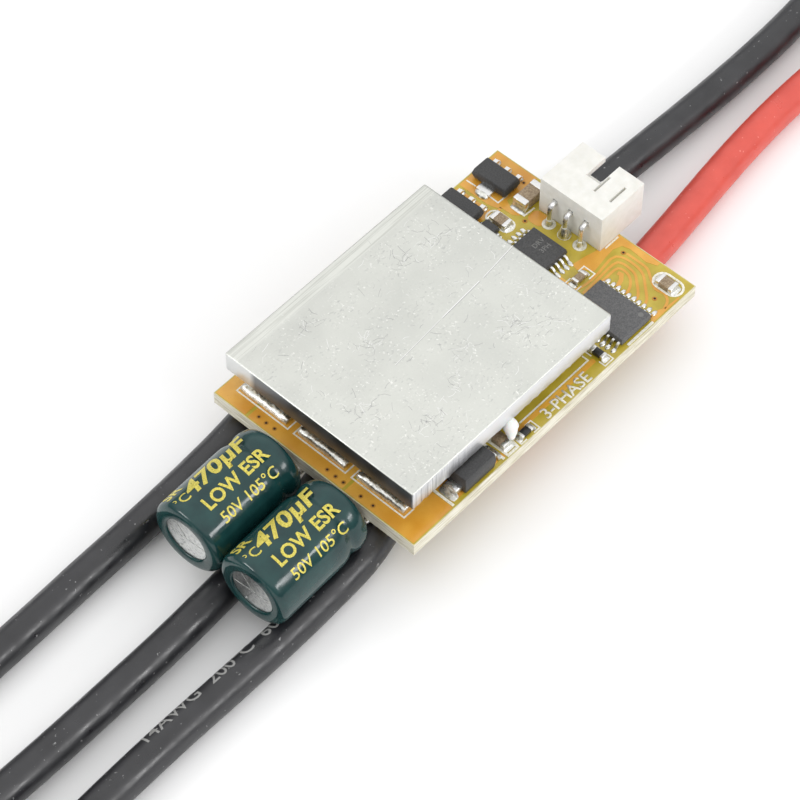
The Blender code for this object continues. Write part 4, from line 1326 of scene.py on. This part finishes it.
def make_capacitor(number):
    sleeve_look, can_look, gold = sleeve_material(), can_material(), gold_print_material()
    matrix = capacitor_frame(number)
    name = f"capacitor_{number}"
    outside = outer_profile()
    inside = [(radius - 0.13, height) for radius, height in outside[3:-4]]
    inside += [(radius - 0.06, height - 0.13) for radius, height in outside[-4:]]
    shape = bmesh.new()
    add_turned(shape, outside + inside[::-1] + [(2.95, -0.06)], 96, matrix, True)
    keep(new_object(name + "_shrink_sleeve", shape, sleeve_look, 60), "sleeve", name + "_sleeve")
    make_can(number, matrix, can_look)
    make_bung(number, matrix)
    make_sleeve_print(number, gold)
    for label, side in (("negative", -1), ("positive", 1)):
        make_capacitor_lead(number, label, side * CAPACITOR_LEAD_PITCH / 2)
    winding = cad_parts[name + "_winding"]
    winding.data.materials.clear()
    winding.data.materials.append(winding_material())


def make_can(number, matrix, look):
    """The drawn can with the scored vent on its end."""
    shape = bmesh.new()
    end = CAPACITOR_LENGTH
    profile = [(0.0, end - 0.08), (2.3, end - 0.07), (2.6, end - 0.05), (3.3, end - 0.12), (3.7, end - 0.45),
               (3.84, end - 0.9), (3.84, 3.6), (3.75, 3.0), (3.42, 2.3), (3.4, 1.95), (3.7, 1.3),
               (3.66, 0.45), (3.3, 0.02), (2.95, 0.05), (3.1, 0.35), (3.42, 1.2), (3.1, 1.9), (3.12, 2.35),
               (3.5, 3.1), (3.5, end - 0.9), (3.2, end - 0.6), (0.0, end - 0.6)]
    add_turned(shape, profile, 64, matrix)
    can = new_object(f"capacitor_{number}_drawn_can", shape, look, 40)
    tools = []
    for turn in (35, 95, 155):
        groove = bmesh.new()
        bmesh.ops.create_cube(groove, size=1.0)
        place = matrix @ Matrix.Translation((0, 0, end)) @ Matrix.Rotation(math.radians(turn), 4, "Z")
        reach = 4.6 if turn == 95 else 2.35
        shift = 0.0 if turn == 95 else 1.15
        wedge = place @ Matrix.Translation((shift, 0, 0)) @ Matrix.Diagonal((reach, 0.14, 0.32, 1))
        bmesh.ops.transform(groove, matrix=wedge, verts=groove.verts)
        tools.append(new_object("vent_groove", groove, look))
    cut(can, tools)
    soften(can, 0.03, 1)
    keep(can, "can", f"capacitor_{number}_can")


def make_bung(number, matrix):
    shape = bmesh.new()
    profile = [(0.0, 0.32), (1.2, 0.3), (2.5, 0.34), (2.8, 0.5), (3.05, 0.9), (3.25, 1.25), (2.95, 1.85),
               (2.95, 2.4), (3.3, 3.1), (0.0, 3.2)]
    add_turned(shape, profile, 48, matrix)
    for side in (-1, 1):
        spot = matrix @ Matrix.Translation((0, side * CAPACITOR_LEAD_PITCH / 2, 0.3)) @ UPSIDE_DOWN
        add_turned(shape, [(0.31, 0.0), (0.6, -0.02), (0.5, 0.16), (0.36, 0.2), (0.31, 0.2)], 24, spot, True)
    keep(new_object(f"capacitor_{number}_rubber_bung", shape, rubber_material(), 40), "rubber",
         f"capacitor_{number}_bung")


def make_capacitor_lead(number, label, offset):
    """A tinned wire from the bung, down past the board's end and under its edge, with its solder there."""
    y = CAPACITOR_ROWS[number]
    swing = Matrix.Rotation(math.radians(CAPACITOR_SPLAY), 3, "Z")
    near = Vector((CAPACITOR_NEAR_X, y, CAPACITOR_Z))
    inside, mouth = (near + swing @ Vector((along, offset, 0)) for along in (-3.9, 0.4))
    under = -CAPACITOR_Z - CAPACITOR_WIRE_RADIUS - GAP
    drop = [(0.95, -0.3), (1.2, -0.8), (1.3, under + 0.7), (1.6, under + 0.2), (2.2, under), (4.4, under)]
    knots = [inside, mouth] + [Vector((near.x + along, mouth.y, near.z + down)) for along, down in drop]
    shape = bmesh.new()
    add_round_bar(shape, smooth_route(knots, 0.35), CAPACITOR_WIRE_RADIUS, 20)
    node = f"capacitor_{number}_lead_{label}"
    keep(new_object(node + "_wire", shape, tin_material(), 50), "solder", node)
    joint = bmesh.new()
    spot = Vector((near.x + 3.9, mouth.y, 0.02))
    add_dome(joint, (0, 0, 0), (1.25, 0.8, 0.72), 28, 0.25)
    bmesh.ops.transform(joint, matrix=Matrix.Translation(spot) @ UPSIDE_DOWN, verts=joint.verts)
    keep(new_object(node + "_solder", joint, solder_material(), 70), "solder")


def make_sleeve_print(number, gold):
    """Generic ratings in gold. The print repeats, so the next run of it is cut off by the vent end."""
    turn = {1: 0.6, 2: 0.1}[number]
    rows = (("470µF", 2.1, 0.045, 0.3, 1.2), ("LOW ESR", 1.35, 0.035, 0.0, -1.45),
            ("50V 105°C", 1.15, 0.01, 0.0, -3.45))
    shape = bmesh.new()
    for along, around in ((5.7, 0.0), (13.3, 4.2), (5.7, 12.6)):
        for text, height, weight, lean, row in rows:
            add_sleeve_text(shape, text, height, along, row + turn + around, number, weight, lean)
    keep(new_object(f"capacitor_{number}_print", shape, gold), "sleeve")


# ---- leads -----------------------------------------------------------------------------------------------
def make_lead(name, route, look, slot):
    """A silicone-covered lead as a curve on its own middle line."""
    points = smooth_route(route, 1.4)
    curve = bpy.data.curves.new(name, "CURVE")
    curve.dimensions = "3D"
    curve.bevel_depth = LEAD_RADIUS * MM
    curve.bevel_resolution = 10
    curve.use_fill_caps = True
    spline = curve.splines.new("POLY")
    spline.points.add(len(points) - 1)
    for item, point in zip(spline.points, points):
        item.co = (*(point * MM), 1.0)
    spline.use_smooth = True
    curve.materials.append(look)
    cord = bpy.data.objects.new(name + "_insulation", curve)
    bpy.context.scene.collection.objects.link(cord)
    keep(cord, slot, name)
    tip = make_tip(name, points)
    make_joint(name, points)


def add_lead_print(shape, points, text, height, start, roll):
    """Lettering along a lead: start is how far along it, and roll is the turn from straight up."""
    flat = lettering(text, height, 0.01)
    slice_up(flat, 0, 0.5)
    slice_up(flat, 1, 0.2)
    low = min(vertex.co.x for vertex in flat.verts)
    radius = LEAD_RADIUS + 0.012
    for vertex in flat.verts:
        along = start - (vertex.co.x - low)
        index = 0
        while along > (points[index + 1] - points[index]).length:
            along -= (points[index + 1] - points[index]).length
            index += 1
        way = (points[index + 1] - points[index]).normalized()
        side = way.cross(Vector((0, 0, 1))).normalized()
        up = side.cross(way)
        turn = math.radians(roll) - vertex.co.y / radius
        vertex.co = points[index] + way * along + (up * math.cos(turn) + side * math.sin(-turn)) * radius
    append(shape, flat)


def make_lead_print():
    """Faint generic ratings along the flank of one motor lead."""
    shape = bmesh.new()
    points = smooth_route(LEAD_ROUTES["motor_lead_3"], 1.4)
    add_lead_print(shape, points, "14AWG  200°C  600V", 1.5, 36.0, -36.0)
    keep(new_object("lead_print", shape, Look("faint_print", srgb(146, 146, 144), 0.6).material),
         "black_silicone")


def strand_section(radius, turn):
    """A bundle of twisted strands seen end on, turned by the twist so far."""
    bundles, sides = 9, 72
    outline = []
    for step in range(sides):
        angle = 2 * math.pi * step / sides
        reach = radius * (0.86 + 0.14 * abs(math.cos(bundles * (angle - turn) / 2)))
        outline.append((reach * math.cos(angle), reach * math.sin(angle)))
    return outline


def make_tip(name, points):
    """The stripped end: strands twisted together and tinned."""
    start = points[-1]
    along = (points[-1] - points[-2]).normalized()
    slices = 40
    run = [start + along * (GAP + (TIP_LENGTH - GAP) * index / slices) for index in range(slices + 1)]
    shape = bmesh.new()

    def section(index):
        left = TIP_LENGTH * (1 - index / slices)
        share = min(1.0, 0.35 + 0.65 * math.sqrt(min(1.0, left / 0.7)))
        return strand_section(CONDUCTOR_RADIUS * share, index * 0.055)
    add_sweep(shape, run, section)
    return keep(new_object(name + "_strands", shape, solder_material(), 50), "solder", name + "_tip")


def make_joint(name, points):
    """The strands run from the insulation into a mound of solder on the underside."""
    start, away = points[0], (points[1] - points[0]).normalized()
    outward = math.copysign(1.0, start.x)
    pad = Vector((start.x - outward * 4.4, start.y, -GAP - CONDUCTOR_RADIUS))
    knots = [pad, pad.lerp(start, 0.5) + Vector((0, 0, -0.05)), start - away * 0.7, start - away * GAP]
    run = smooth_route(knots, 0.25)
    shape = bmesh.new()
    add_sweep(shape, run, lambda index: strand_section(CONDUCTOR_RADIUS, index * 0.05))
    mound = bmesh.new()
    add_dome(mound, (0, 0, 0), (3.4, 1.95, 2.1), 56, 0.0)
    for vertex in mound.verts:
        slope = 1 + 0.14 * noise.noise(vertex.co * 0.8 + Vector((start.x, start.y, 0)))
        vertex.co = Vector((vertex.co.x * slope, vertex.co.y * slope, vertex.co.z))
    place = Matrix.Translation((pad.x, pad.y, -0.03)) @ UPSIDE_DOWN
    append(shape, mound, place)
    keep(new_object(name + "_solder_joint", shape, solder_material(), 50), "solder", name + "_joint")


def make_leads():
    black = silicone_material("black_silicone", (0.005, 0.005, 0.007, 1), (0.016, 0.016, 0.019, 1),
                              (0.4, 0.4, 0.4, 1))
    red = silicone_material("red_silicone", (0.61, 0.062, 0.040, 1), (0.71, 0.082, 0.054, 1),
                            (0.9, 0.35, 0.3, 1))
    for name, route in LEAD_ROUTES.items():
        if name == "battery_lead_positive":
            make_lead(name, route, red, "red_silicone")
        else:
            make_lead(name, route, black, "black_silicone")


make_camera()
make_leads()
make_lead_print()
make_studio()
dress_board()
make_heat_sink()
make_adhesive()
make_transistors()
make_small_outline_chip("microcontroller", 12.0, -9.1, 90, 6.5, 10, (), 0.0, 0.1)
make_small_outline_chip("gate_driver", 12.3, 1.0, 0, 5.0, 7, ("DRV", "3PH"), 1.15, 0.055)
make_regulators()
make_diodes()
make_chip_components()
make_header()
make_pins()
for capacitor in CAPACITOR_ROWS:
    make_capacitor(capacitor)
